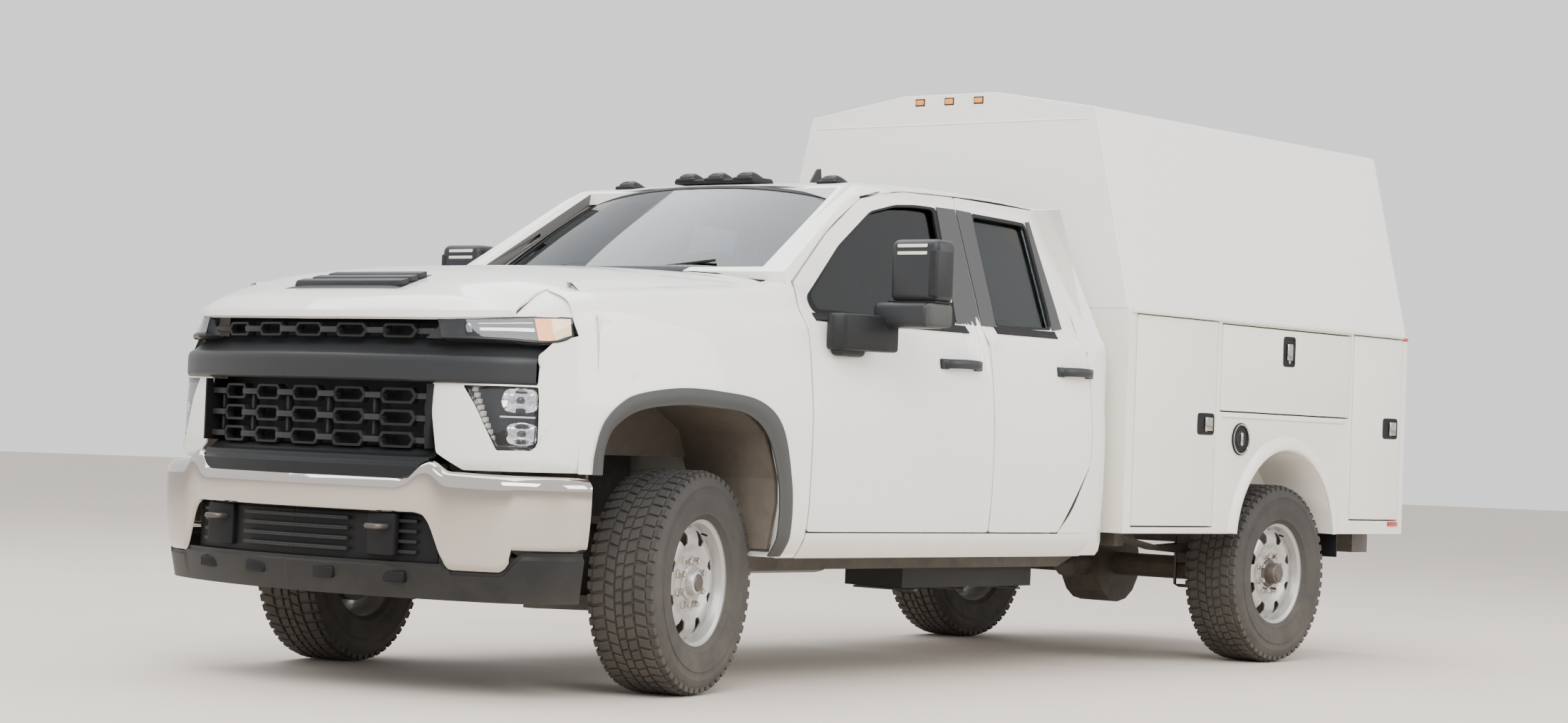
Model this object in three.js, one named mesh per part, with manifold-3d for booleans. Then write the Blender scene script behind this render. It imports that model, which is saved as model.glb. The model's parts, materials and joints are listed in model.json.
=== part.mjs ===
// Utility pickup truck with an enclosed service body.
// Millimetres, +Z up, the front faces -Y and the truck's left side is +X.
// Inside the truck group Y counts from the front axle and Z from the ground.
import * as THREE from 'three';
import { mergeVertices } from 'three/addons/utils/BufferGeometryUtils.js';
import Module from 'manifold-3d';

const wasm = await Module();
wasm.setup();

// ---- driving dimensions ------------------------------------------------------------------

const WHEELBASE = 4128;
const FRONT_OVERHANG = 1105; // front axle to the bumper's face
const TRACK = 1736;
const TYRE_RADIUS = 413;
const TYRE_WIDTH = 279;
const RIM_RADIUS = 246;
const RIM_WIDTH = 236;
const STUD_HOLES = 8; // hand holes in each wheel's disc
const STEER_ANGLE = THREE.MathUtils.degToRad(14.5); // front wheels as parked
const KINGPIN_INSET = 78; // steering axis, inboard of the wheel's centre plane

const CAB_HALF = 1036; // half width over the doors
const CAB_FLOOR = 612;
const SILL_BOTTOM = 498;
const SHOULDER_Z = 1368; // where the door skin turns in below the glass
const BELT_Z = 1437; // foot of the side glass
const BELT_INSET = 88; // belt, inboard of the door skin
const ROOF_Z = 2034;
const RAIL_DROP = 94; // roof rail, below the roof's top
const RAIL_INSET = 254; // roof rail, inboard of the door skin
const CAB_GAP = 74; // cab back to service body
const WALL = 110; // door and side wall below the belt
const FRAME_DEPTH = 48; // door frame and pillar beside the glass
const ROOF_WALL = 45;
const DOOR_SKIN = 30; // full-size outer slab of a door
const DOOR_STEP = 20; // how far the inner slab draws in
const GLASS = 8;
const GLASS_DEPTH = 18; // side glass behind the door's face
const MOVING_GAP = 6; // round everything that swings
const TOUCH = 0.5; // between pieces that touch
const DOOR_FRONT = 604;
const FRONT_DOOR_WIDTH = 1172;
const DOOR_BOTTOM = 600;

const CLIP_SKIN = 30; // fender skin
const HOOD_WALL = 40;
const HOOD_HALF = 815;
const HOOD_REAR = 545;
const HOOD_FRONT_Z = 1325; // hood's front lower edge
const BUMPER_TOP = 784;
const BUMPER_BOTTOM = 450;
const BUMPER_WALL = 60;
const VALANCE_BOTTOM = 345;

const BODY_FROM_AXLE = 1360; // service body's front, ahead of the rear axle
const BODY_LENGTH = 2482;
const BODY_HALF = 1019;
const STEP_REACH = 25; // rear step's face, behind the service body
const REAR_OVERHANG = BODY_LENGTH - BODY_FROM_AXLE + STEP_REACH; // rear axle to the step's face
const BODY_BOTTOM = 599;
const BODY_TOP = 1573;
const LOAD_FLOOR = 800;
const LOAD_HALF = 622; // half width between the side compartments
const BODY_WALL = 24;
const COMPARTMENT_DOOR = 24;
const ARCH_RADIUS = 441;
const ARCH_Z = 545;
const SHELF_Z = 1140; // floor of the compartment above the wheel
const TOPPER_EAVE = 2460;
const TOPPER_TOP = 2544;
const TOPPER_EAVE_HALF = 798;
const TOPPER_FLAT_HALF = 258;
const TOPPER_WALL = 30;
const REAR_DOOR_HALF = 600;
const REAR_DOOR_TOP = 2330;
const REAR_DOOR_WALL = 40;

const FRAME_HALF = 470; // outside of the frame rails
const RAIL_WIDTH = 76;

const REAR_AXLE = WHEELBASE;
const BODY_FRONT = REAR_AXLE - BODY_FROM_AXLE;
const BODY_REAR = BODY_FRONT + BODY_LENGTH;
const CAB_BACK = BODY_FRONT - CAB_GAP;
const B_LINE = DOOR_FRONT + FRONT_DOOR_WIDTH;
const C_LINE = CAB_BACK - 232; // rear door's rear edge
const HUB_Z = TYRE_RADIUS;
const HALF_TRACK = TRACK / 2;

// ---- paints and materials ------------------------------------------------------------------

const finish = (color, roughness, metalness) =>
  new THREE.MeshStandardMaterial({ color, roughness, metalness });
const WHITE = finish(0xf4f1e8, 0.35, 0);
const BLACK = finish(0x17181a, 0.55, 0);
const CHROME = finish(0xd5d8da, 0.1, 1);
const STEEL = finish(0xc9cbc9, 0.35, 0.7);
const CHASSIS = finish(0x1c1c1d, 0.7, 0.2);
const RUBBER = finish(0x2a2a2a, 0.9, 0);
const GLAZING = finish(0x5f7078, 0.08, 0);
const TRIM = finish(0x35363a, 0.8, 0);
const CLOTH = finish(0x2e2f33, 0.95, 0);
const LENS = finish(0xb9c2c7, 0.1, 0.2);

// ---- solids --------------------------------------------------------------------------------

function signedVolume(positions, index) {
  const [a, b, c] = [new THREE.Vector3(), new THREE.Vector3(), new THREE.Vector3()];
  let total = 0;
  for (let i = 0; i < index.length; i += 3) {
    a.fromArray(positions, index[i] * 3);
    b.fromArray(positions, index[i + 1] * 3);
    c.fromArray(positions, index[i + 2] * 3);
    total += a.dot(b.cross(c));
  }
  return total;
}

// A closed three.js geometry becomes a solid with its faces outward.
function solid(geometry) {
  geometry.deleteAttribute('normal');
  geometry.deleteAttribute('uv');
  const merged = mergeVertices(geometry, 1e-3);
  const positions = merged.attributes.position.array;
  const source = merged.index.array;
  const index = [];
  for (let i = 0; i < source.length; i += 3) {
    const [a, b, c] = [source[i], source[i + 1], source[i + 2]];
    if (a !== b && b !== c && c !== a) index.push(a, b, c);
  }
  if (signedVolume(positions, index) < 0) {
    for (let i = 0; i < index.length; i += 3) {
      [index[i], index[i + 1]] = [index[i + 1], index[i]];
    }
  }
  return new wasm.Manifold(new wasm.Mesh({
    numProp: 3,
    vertProperties: new Float32Array(positions),
    triVerts: new Uint32Array(index),
  }));
}

function geometryOf(body, flipped = false) {
  const mesh = body.getMesh();
  const geometry = new THREE.BufferGeometry();
  const positions = new Float32Array(mesh.vertProperties);
  const index = new Uint32Array(mesh.triVerts);
  if (flipped) {
    for (let i = 0; i < positions.length; i += 3) positions[i] *= -1;
    for (let i = 0; i < index.length; i += 3) {
      [index[i], index[i + 1]] = [index[i + 1], index[i]];
    }
  }
  geometry.setAttribute('position', new THREE.BufferAttribute(positions, 3));
  geometry.setIndex(new THREE.BufferAttribute(index, 1));
  return geometry;
}

const join = (first, ...others) => others.reduce((sum, one) => sum.add(one), first);
const cut = (first, ...others) => others.reduce((rest, one) => rest.subtract(one), first);
const mirrored = (body) => solid(geometryOf(body, true));
const bothSides = (body) => body.add(mirrored(body));

function box(x0, x1, y0, y1, z0, z1) {
  const geometry = new THREE.BoxGeometry(x1 - x0, y1 - y0, z1 - z0);
  return solid(geometry.translate((x0 + x1) / 2, (y0 + y1) / 2, (z0 + z1) / 2));
}

const shapeOf = (points) => new THREE.Shape(points.map(([a, b]) => new THREE.Vector2(a, b)));

function extruded(points, from, to) {
  const geometry = new THREE.ExtrudeGeometry(shapeOf(points), {
    depth: to - from,
    bevelEnabled: false,
  });
  return geometry.translate(0, 0, from);
}

// Outlines in plan [x, y], in side view [y, z] and in front view [x, z].
const prismZ = (points, z0, z1) => solid(extruded(points, z0, z1));
function prismX(points, x0, x1) {
  const turn = new THREE.Matrix4().makeBasis(
    new THREE.Vector3(0, 1, 0), new THREE.Vector3(0, 0, 1), new THREE.Vector3(1, 0, 0));
  return solid(extruded(points, x0, x1).applyMatrix4(turn));
}
const prismY = (points, y0, y1) => solid(extruded(points, -y1, -y0).rotateX(Math.PI / 2));

function cylinder(radius, length, sides, place, axis = 'x') {
  const geometry = new THREE.CylinderGeometry(radius, radius, length, sides);
  if (axis === 'x') geometry.rotateZ(Math.PI / 2);
  if (axis === 'z') geometry.rotateX(Math.PI / 2);
  return solid(geometry.translate(...place));
}

// A ring or disc turned about X: the profile is [radius, x] and closes on itself or the axis.
function turned(profile, sides) {
  const points = profile.map(([r, x]) => new THREE.Vector2(r, x));
  const first = points[0];
  const last = points[points.length - 1];
  if (first.x > 0 || last.x > 0) points.push(first.clone());
  return solid(new THREE.LatheGeometry(points, sides).rotateZ(-Math.PI / 2));
}

function area(points) {
  return points.reduce((sum, [x, y], i) => {
    const [u, v] = points[(i + 1) % points.length];
    return sum + x * v - u * y;
  }, 0) / 2;
}

// Moves each side of an outline inwards by a distance, or outwards if it is negative.
function inset(points, distance) {
  const sign = Math.sign(area(points));
  return points.map(([x, y], i) => {
    const [px, py] = points[(i + points.length - 1) % points.length];
    const [nx, ny] = points[(i + 1) % points.length];
    const before = new THREE.Vector2(x - px, y - py).normalize();
    const after = new THREE.Vector2(nx - x, ny - y).normalize();
    const a = new THREE.Vector2(-before.y, before.x).multiplyScalar(sign);
    const b = new THREE.Vector2(-after.y, after.x).multiplyScalar(sign);
    const bisector = a.clone().add(b);
    const scale = distance * 2 / bisector.lengthSq();
    return [x + bisector.x * scale, y + bisector.y * scale];
  });
}

const symmetric = (half) => [...half, ...half.slice().reverse().map(([x, v]) => [-x, v])];

// ---- cab -----------------------------------------------------------------------------------

const BELT_X = CAB_HALF - BELT_INSET;
const RAIL_X = CAB_HALF - RAIL_INSET;
const RAIL_Z = ROOF_Z - RAIL_DROP;
const LEAN = (BELT_X - RAIL_X) / (RAIL_Z - BELT_Z);

const CAB_SECTION = symmetric([
  [CAB_HALF - 76, SILL_BOTTOM],
  [CAB_HALF - 20, SILL_BOTTOM + 90],
  [CAB_HALF - 2, 800],
  [CAB_HALF, 1000],
  [CAB_HALF - 16, 1180],
  [CAB_HALF - 42, SHOULDER_Z],
  [BELT_X, BELT_Z],
  [RAIL_X, RAIL_Z],
  [RAIL_X - 34, RAIL_Z + 40],
  [RAIL_X - 110, RAIL_Z + 64],
  [RAIL_X - 380, ROOF_Z - 10],
]);
const CAVITY_SECTION = symmetric([
  [CAB_HALF - WALL, CAB_FLOOR],
  [CAB_HALF - WALL, SHOULDER_Z],
  [BELT_X - FRAME_DEPTH, BELT_Z + 20],
  [RAIL_X - FRAME_DEPTH, RAIL_Z],
  [RAIL_X - 110, RAIL_Z + 64 - ROOF_WALL],
  [RAIL_X - 380, ROOF_Z - 10 - ROOF_WALL],
]);
const FIREWALL = 480;
const COWL_Z = 1430; // shell under the hood's rear edge
const SCREEN_FOOT = [562, 1592];
const SCREEN_HEAD = [1168, 1988];
const CAB_SIDE = [
  [FIREWALL, SILL_BOTTOM],
  [FIREWALL, COWL_Z - 30],
  [HOOD_REAR + 12, COWL_Z],
  SCREEN_FOOT,
  SCREEN_HEAD,
  [1320, 2012],
  [1560, 2028],
  [CAB_BACK - 800, ROOF_Z],
  [CAB_BACK - 420, ROOF_Z - 12],
  [CAB_BACK - 230, ROOF_Z - 46],
  [CAB_BACK - 140, ROOF_Z - 130],
  [CAB_BACK - 26, 1440],
  [CAB_BACK, 1180],
  [CAB_BACK, SILL_BOTTOM + 120],
  [CAB_BACK - 40, SILL_BOTTOM],
];
const SIDE_PLAN = [
  [CAB_HALF, CAB_BACK - 420],
  [CAB_HALF - 9, CAB_BACK - 170],
  [CAB_HALF - 34, CAB_BACK - 60],
  [CAB_HALF - 96, CAB_BACK],
];
const CAB_PLAN = symmetric([
  [800, FIREWALL],
  [CAB_HALF - 54, FIREWALL + 22],
  [CAB_HALF - 54, DOOR_FRONT + 3],
  [CAB_HALF, DOOR_FRONT + 3],
  ...SIDE_PLAN,
]);
const DOOR_PLAN = symmetric([[CAB_HALF, FIREWALL], ...SIDE_PLAN]);

// The cab's outer form, drawn in by a depth on every side.
function cabForm(depth, plan = CAB_PLAN) {
  return prismY(inset(CAB_SECTION, depth), FIREWALL, CAB_BACK)
    .intersect(prismX(inset(CAB_SIDE, depth), -CAB_HALF, CAB_HALF))
    .intersect(prismZ(inset(plan, depth), SILL_BOTTOM, ROOF_Z));
}

const cabOuter = cabForm(0);
const cabCavity = prismY(CAVITY_SECTION, FIREWALL + 60, CAB_BACK - 60)
  .intersect(prismX(inset(CAB_SIDE, ROOF_WALL), -CAB_HALF, CAB_HALF));

const FRONT_DOOR_OUTLINE = [
  [DOOR_FRONT, DOOR_BOTTOM],
  [DOOR_FRONT, 1553],
  [883, 1766],
  [1139, 1919],
  [1290, 1952],
  [1437, 1971],
  [B_LINE, 1978],
  [B_LINE, DOOR_BOTTOM],
];
const REAR_DOOR_OUTLINE = [
  [B_LINE, DOOR_BOTTOM],
  [B_LINE, 1978],
  [C_LINE - 70, 1968],
  [C_LINE + 2, 1486],
  [C_LINE + 34, 1320],
  [C_LINE + 30, 900],
  [C_LINE - 100, 690],
  [C_LINE - 190, DOOR_BOTTOM],
];
const FRONT_WINDOW = [
  [690, 1432],
  [664, 1500],
  [936, 1716],
  [1195, 1872],
  [1373, 1912],
  [B_LINE - 132, 1922],
  [B_LINE - 160, 1432],
];
const REAR_WINDOW = [
  [B_LINE + 104, 1440],
  [B_LINE + 108, 1918],
  [C_LINE - 190, 1906],
  [C_LINE - 172, 1450],
];

const cabDepth = cabForm(DOOR_SKIN, DOOR_PLAN);
const flangeFace = cabForm(DOOR_SKIN + MOVING_GAP, DOOR_PLAN);

// A prism over one side of the cab, from inside the roof rail outwards.
const DOOR_TOP_X = RAIL_X - 64;
const sidePrism = (outline, inner = DOOR_TOP_X) => prismX(outline, inner, CAB_HALF + 50);

function doorOpening(outline) {
  const reach = DOOR_TOP_X - MOVING_GAP;
  const skin = cut(sidePrism(inset(outline, -MOVING_GAP / 2), reach), flangeFace);
  return join(skin, sidePrism(inset(outline, DOOR_STEP - MOVING_GAP / 2), reach));
}

function doorPanel(outline, window) {
  const wall = cut(cabOuter, cabCavity);
  const skin = cut(wall, cabDepth).intersect(sidePrism(inset(outline, MOVING_GAP / 2)));
  const inner = wall.intersect(sidePrism(inset(outline, DOOR_STEP + MOVING_GAP / 2)));
  return cut(join(skin, inner), sidePrism(window));
}

function doorGlass(window) {
  return cut(cabForm(GLASS_DEPTH), cabForm(GLASS_DEPTH + GLASS)).intersect(
    sidePrism(inset(window, TOUCH)));
}

const SCREEN_TOP_HALF = 672;
const SCREEN_FOOT_HALF = 758;
const SCREEN_OUTLINE = symmetric([
  [SCREEN_FOOT_HALF, SCREEN_FOOT[0] + 34],
  [SCREEN_TOP_HALF, SCREEN_HEAD[0] - 30],
]);
const BACK_LIGHT = symmetric([
  [640, 1470],
  [590, 1880],
]);

function centrePillar() {
  const reach = 60;
  const side = CAVITY_SECTION.slice(0, 5).map(([x, z]) => [x - MOVING_GAP, z]);
  const outline = [
    [side[0][0], CAB_FLOOR - 20],
    ...side,
    [side[4][0], ROOF_Z - 30],
    [side[4][0] - reach, ROOF_Z - 20],
    ...side.slice().reverse().map(([x, z]) => [x - reach, z]),
    [side[0][0] - reach, CAB_FLOOR - 20],
  ];
  return prismY(outline, B_LINE - 75, B_LINE + 75);
}

// ---- front clip: hood, fenders and grille share one form ----------------------------------

const CLIP_REAR = 900;
const noseY = (x) => -1046 + 2.45e-4 * x * x;
const CLIP_SECTION = symmetric([
  [CAB_HALF - 60, SILL_BOTTOM],
  [CAB_HALF - 6, 700],
  [CAB_HALF + 2, 1000],
  [CAB_HALF - 8, 1200],
  [CAB_HALF - 38, 1352],
  [CAB_HALF - 92, 1420],
  [HOOD_HALF + 4, 1512],
  [560, 1574],
  [200, 1600],
]);
const CLIP_SIDE = [
  [noseY(0), SILL_BOTTOM],
  [noseY(0), HOOD_FRONT_Z],
  [noseY(0) + 40, 1358],
  [-900, 1410],
  [-690, 1460],
  [-540, 1488],
  [-250, 1522],
  [50, 1548],
  [SCREEN_FOOT[0], SCREEN_FOOT[1] - 6],
  [CLIP_REAR, SCREEN_FOOT[1] + 20],
  [CLIP_REAR, SILL_BOTTOM],
];
const CLIP_PLAN = symmetric([
  [180, noseY(180)],
  [400, noseY(400)],
  [600, noseY(600)],
  [760, noseY(760)],
  [880, -842],
  [958, -745],
  [1004, -610],
  [CAB_HALF - 6, -400],
  [CAB_HALF + 2, -100],
  [CAB_HALF, CLIP_REAR],
]);

function clipForm(depth) {
  return prismY(inset(CLIP_SECTION, depth), -FRONT_OVERHANG, CLIP_REAR)
    .intersect(prismX(inset(CLIP_SIDE, depth), -CAB_HALF - 10, CAB_HALF + 10))
    .intersect(prismZ(inset(CLIP_PLAN, depth), 0, ROOF_Z));
}

const clipOuter = clipForm(0);
const clipSkin = cut(clipOuter, clipForm(CLIP_SKIN));
const FRONT_ARCH = [
  [-575, 300],
  [-560, 850],
  [-494, 966],
  [-358, 1040],
  [-150, 1066],
  [212, 1056],
  [362, 968],
  [432, 800],
  [456, 560],
  [470, 300],
];
const LINER = 12;
const LINER_BOTTOM = 408;
const BEZEL_INNER = 597;
const BEZEL_TOP = 1104;
const LAMP_DEPTH = 70;
const UPPER_LAMP = [
  [622, 1262], [604, HOOD_FRONT_Z - 13], [HOOD_HALF, HOOD_FRONT_Z + 1],
  [930, HOOD_FRONT_Z + 15], [1100, HOOD_FRONT_Z + 19], [1100, 1268],
];
const LOWER_LAMP = [[742, 862], [690, 930], [690, 1084], [1100, 1084], [1100, 868], [800, 842]];
const LOWER_LAMP_OUTER = 905;
const UPPER_LAMP_OUTER = 1000;

function lampZones(clearance) {
  const upper = prismY(inset(UPPER_LAMP, clearance), -FRONT_OVERHANG, -560 - clearance);
  const lower = prismY(inset(LOWER_LAMP, clearance), -FRONT_OVERHANG, -560)
    .intersect(box(0, LOWER_LAMP_OUTER - clearance, -FRONT_OVERHANG, 0, 0, ROOF_Z));
  return [upper.intersect(box(0, UPPER_LAMP_OUTER - clearance, -1200, 0, 0, ROOF_Z)), lower];
}

function fender() {
  const side = clipSkin.intersect(box(HOOD_HALF + MOVING_GAP, CAB_HALF + 50,
    -FRONT_OVERHANG, DOOR_FRONT - 4, BUMPER_TOP + 16, ROOF_Z));
  const foot = clipSkin.intersect(box(HOOD_HALF, CAB_HALF + 50,
    300, DOOR_FRONT - 4, SILL_BOTTOM, BUMPER_TOP + 30));
  const bezel = clipSkin.intersect(box(BEZEL_INNER, CAB_HALF,
    -FRONT_OVERHANG, -400, BUMPER_TOP + 16, BEZEL_TOP));
  const bar = box(0, 930, -FRONT_OVERHANG, -560, BEZEL_TOP, HOOD_FRONT_Z + 24);
  return cut(join(side, foot, bezel), prismX(FRONT_ARCH, 300, CAB_HALF + 50), bar,
    ...lampZones(0));
}

function wheelLiner() {
  const reach = [560, CAB_HALF - CLIP_SKIN - 8];
  const sheet = cut(prismX(inset(FRONT_ARCH, -LINER), ...reach), prismX(FRONT_ARCH, ...reach));
  const wall = prismX(inset(FRONT_ARCH, -LINER), reach[0], reach[0] + LINER)
    .intersect(box(0, CAB_HALF, -700, 700, 2 * TYRE_RADIUS + 40, ROOF_Z));
  return join(sheet, wall).intersect(
    box(0, CAB_HALF, -700, 700, LINER_BOTTOM, ROOF_Z))
    .intersect(clipForm(CLIP_SKIN + 6));
}

function hood() {
  const front = symmetric([
    [400, HOOD_FRONT_Z], [HOOD_HALF, HOOD_FRONT_Z + 8], [HOOD_HALF, ROOF_Z],
  ]);
  return cut(clipOuter, clipForm(HOOD_WALL)).intersect(
    prismY(front, -FRONT_OVERHANG, HOOD_REAR));
}

function grille() {
  const skin = cut(clipForm(8), clipForm(48));
  const centre = skin.intersect(box(-BEZEL_INNER + TOUCH, BEZEL_INNER - TOUCH,
    -FRONT_OVERHANG, -400, BUMPER_TOP + 20, HOOD_FRONT_Z - MOVING_GAP));
  const bar = skin.intersect(box(-922, 922, -FRONT_OVERHANG, -400, BEZEL_TOP + 4, 1254));
  const zones = lampZones(-TOUCH);
  return cut(join(centre, bar), ...zones, ...zones.map(mirrored));
}

function headlamp() {
  const layer = cut(clipForm(2), clipForm(LAMP_DEPTH));
  const link = cut(clipForm(56), clipForm(LAMP_DEPTH)).intersect(
    box(700, 860, -FRONT_OVERHANG, -560, 870, 1330));
  return join(link, ...lampZones(TOUCH).map((zone) => layer.intersect(zone)));
}

const bumperY = (x) => -FRONT_OVERHANG + 2.43e-4 * x * x;
const BUMPER_PLAN = symmetric([
  [150, -FRONT_OVERHANG],
  [400, bumperY(400)],
  [600, bumperY(600)],
  [780, bumperY(780)],
  [930, -872],
  [1000, -790],
  [1034, -690],
  [1034, 0],
]);
const BUMPER_END = -596; // how far round the corners it reaches

// The bar of a bumper between two depths behind its face.
function bumperBand(front, back, z0, z1) {
  return cut(prismZ(inset(BUMPER_PLAN, front), z0, z1),
    prismZ(inset(BUMPER_PLAN, back), z0 - 1, z1 + 1),
    box(-CAB_HALF - 10, CAB_HALF + 10, BUMPER_END, 10, 0, ROOF_Z));
}

const BUMPER_MOUTH = symmetric([[690, 466], [616, 640]]);
const BUMPER_CORNER = [905, 528]; // half width and height where the bar's lower edge steps up

// The space under the bar's stepped-up corners.
function bumperCorners(clearance) {
  const [half, top] = BUMPER_CORNER;
  return bothSides(box(half + clearance, CAB_HALF + 50, -FRONT_OVERHANG, 0,
    VALANCE_BOTTOM, top - clearance));
}

function frontBumper() {
  return cut(bumperBand(0, BUMPER_WALL, BUMPER_BOTTOM, BUMPER_TOP),
    prismY(BUMPER_MOUTH, -2000, -500), bumperCorners(0));
}

function valance() {
  const dam = bumperBand(24, BUMPER_WALL + 40, VALANCE_BOTTOM, BUMPER_BOTTOM - TOUCH);
  const insert = bumperBand(BUMPER_WALL + TOUCH, BUMPER_WALL + 40, VALANCE_BOTTOM, 660);
  const corners = bumperBand(24, BUMPER_WALL + 40, VALANCE_BOTTOM, 660)
    .intersect(bumperCorners(TOUCH));
  return join(dam, insert, corners);
}

// ---- wheels --------------------------------------------------------------------------------

function tyre() {
  const bead = RIM_WIDTH / 2 - 16;
  const half = TYRE_WIDTH / 2;
  const side = [
    [RIM_RADIUS - 16, bead],
    [RIM_RADIUS + 3, bead + 5],
    [RIM_RADIUS + 10, half - 18],
    [RIM_RADIUS + 60, half - 2],
    [RIM_RADIUS + 96, half],
    [TYRE_RADIUS - 28, half - 8],
    [TYRE_RADIUS - 9, half - 22],
    [TYRE_RADIUS, half - 46],
  ];
  return turned([...side, ...side.slice().reverse().map(([r, x]) => [r, -x])], 32);
}

function rim() {
  const half = RIM_WIDTH / 2;
  const shell = turned([
    [0, half - 4],
    [52, half - 4],
    [60, half - 12],
    [62, 70],
    [112, 66],
    [140, 84],
    [170, 82],
    [200, 62],
    [214, 84],
    [RIM_RADIUS - 10, half],
    [RIM_RADIUS, half],
    [RIM_RADIUS, half - 10],
    [RIM_RADIUS - 18, half - 14],
    [RIM_RADIUS - 40, 40],
    [RIM_RADIUS - 40, -50],
    [RIM_RADIUS - 18, 14 - half],
    [RIM_RADIUS, 10 - half],
    [RIM_RADIUS, -half],
    [RIM_RADIUS - 10, -half],
    [RIM_RADIUS - 50, -60],
    [RIM_RADIUS - 50, 50],
    [168, 70],
    [140, 72],
    [112, 54],
    [0, 54],
  ], 24);
  const holes = [];
  for (let i = 0; i < STUD_HOLES; i += 1) {
    const angle = (i + 0.5) * 2 * Math.PI / STUD_HOLES;
    const hole = new THREE.CylinderGeometry(26, 26, 120, 8);
    hole.rotateZ(Math.PI / 2).translate(70, 165, 0).rotateX(angle);
    holes.push(solid(hole));
  }
  return cut(shell, ...holes);
}

// ---- chassis -------------------------------------------------------------------------------

const SPRING_X = FRAME_HALF + 52;
const RAIL_SIDE = [
  [-880, 540], [-420, 540], [-300, 480], [500, 425], [REAR_AXLE - 1050, 425],
  [REAR_AXLE - 620, 590], [BODY_REAR - 60, 590], [BODY_REAR - 60, 745],
  [REAR_AXLE - 680, 745], [REAR_AXLE - 1120, CAB_FLOOR - 40], [470, CAB_FLOOR - 40],
  [-300, 650], [-420, 690], [-880, 690],
];

function ladderFrame() {
  const rail = prismX(RAIL_SIDE, FRAME_HALF - RAIL_WIDTH, FRAME_HALF);
  const members = [
    [-800, 615], [1620, CAB_FLOOR - 67], [CAB_BACK - 300, CAB_FLOOR - 67],
    [REAR_AXLE - 560, 690], [BODY_REAR - 200, 690],
  ].map(([y, z]) => cylinder(24, 2 * FRAME_HALF - 40, 8, [0, y, z]));
  return join(bothSides(rail), ...members);
}

function frontSuspension() {
  const cradle = box(-380, 380, -150, 150, 330, 465);
  const lower = prismZ([[370, -240], [370, 240], [420, 240], [664, 50], [664, -50], [420, -240]],
    290, 345);
  const upper = prismZ([[FRAME_HALF + 4, -120], [FRAME_HALF + 4, 120], [664, 45], [664, -45]],
    610, 640);
  const tower = box(FRAME_HALF + 4, FRAME_HALF + 44, -110, 110, 300, 640);
  const shaft = cylinder(28, 2 * 650, 8, [0, 0, HUB_Z]);
  return join(cradle, bothSides(join(lower, upper, tower)), shaft);
}

const KINGPIN_X = HALF_TRACK - KINGPIN_INSET;

// The left knuckle in its own frame: origin at the steering axis and hub height.
function knuckle() {
  const upright = box(-112, -78, -45, 45, -130, 215);
  const carrier = cylinder(60, 206, 14, [23, 0, 0]);
  const disc = cylinder(172, 28, 24, [16, 0, 0]);
  return join(upright, carrier, disc);
}

function rearAxle() {
  const tube = cylinder(55, 2 * (HALF_TRACK + 48), 14, [0, REAR_AXLE, HUB_Z]);
  const housing = cylinder(185, 210, 16, [0, REAR_AXLE, HUB_Z]);
  const nose = cylinder(80, 150, 12, [0, REAR_AXLE - 220, HUB_Z + 12], 'y');
  const drum = cylinder(165, 60, 20, [HALF_TRACK - 80, REAR_AXLE, HUB_Z]);
  const leaf = prismX([
    [REAR_AXLE - 700, 560], [REAR_AXLE - 350, HUB_Z + 87], [REAR_AXLE, HUB_Z + 65],
    [REAR_AXLE + 350, HUB_Z + 87], [REAR_AXLE + 720, 563], [REAR_AXLE + 720, 578],
    [REAR_AXLE + 350, HUB_Z + 107], [REAR_AXLE + 150, HUB_Z + 117], [REAR_AXLE, HUB_Z + 125],
    [REAR_AXLE - 150, HUB_Z + 117], [REAR_AXLE - 350, HUB_Z + 107], [REAR_AXLE - 700, 575],
  ], SPRING_X - 38, SPRING_X + 38);
  const seat = box(SPRING_X - 45, SPRING_X + 45, REAR_AXLE - 70, REAR_AXLE + 70,
    HUB_Z + 27, HUB_Z + 71);
  return join(tube, housing, nose, bothSides(join(drum, leaf, seat)));
}

const DRIVE_Z = 452;

function driveline() {
  const gearbox = prismX([
    [450, 470], [450, 760], [700, 740], [1150, 620], [1450, 590], [1450, 420], [700, 410],
  ], -165, 165);
  const shaft = cylinder(42, REAR_AXLE - 300 - 1440, 12,
    [0, (REAR_AXLE - 300 + 1440) / 2, DRIVE_Z], 'y');
  return join(gearbox, shaft);
}

function exhaust() {
  const muffler = cylinder(90, 540, 12, [-290, 2020, DRIVE_Z], 'y');
  const stops = [
    [-250, 1000, DRIVE_Z], [-290, 1700, DRIVE_Z], [-290, 2440, DRIVE_Z],
    [-290, REAR_AXLE - 640, DRIVE_Z], [-320, REAR_AXLE - 260, 660],
    [-320, REAR_AXLE + 260, 660], [-340, REAR_AXLE + 600, 560], [-640, REAR_AXLE + 920, 480],
    [-700, BODY_REAR - 170, 466],
  ].map((stop) => new THREE.Vector3(...stop));
  const section = new THREE.Shape().absarc(0, 0, 36, 0, 2 * Math.PI);
  const pipe = new THREE.ExtrudeGeometry(section, {
    steps: 40,
    curveSegments: 4,
    extrudePath: new THREE.CatmullRomCurve3(stops, false, 'catmullrom', 0.2),
  });
  return join(muffler, solid(pipe));
}

// ---- service body --------------------------------------------------------------------------

const FRONT_BAY = [BODY_FRONT + 66, BODY_FRONT + 722, 633, 1553];
const MIDDLE_BAY = [BODY_FRONT + 766, BODY_FRONT + 1920, SHELF_Z + 16, 1545];
const REAR_BAY = [BODY_FRONT + 1961, BODY_REAR - 50, 670, 1553];
const BAYS = [FRONT_BAY, MIDDLE_BAY, REAR_BAY];

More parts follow.
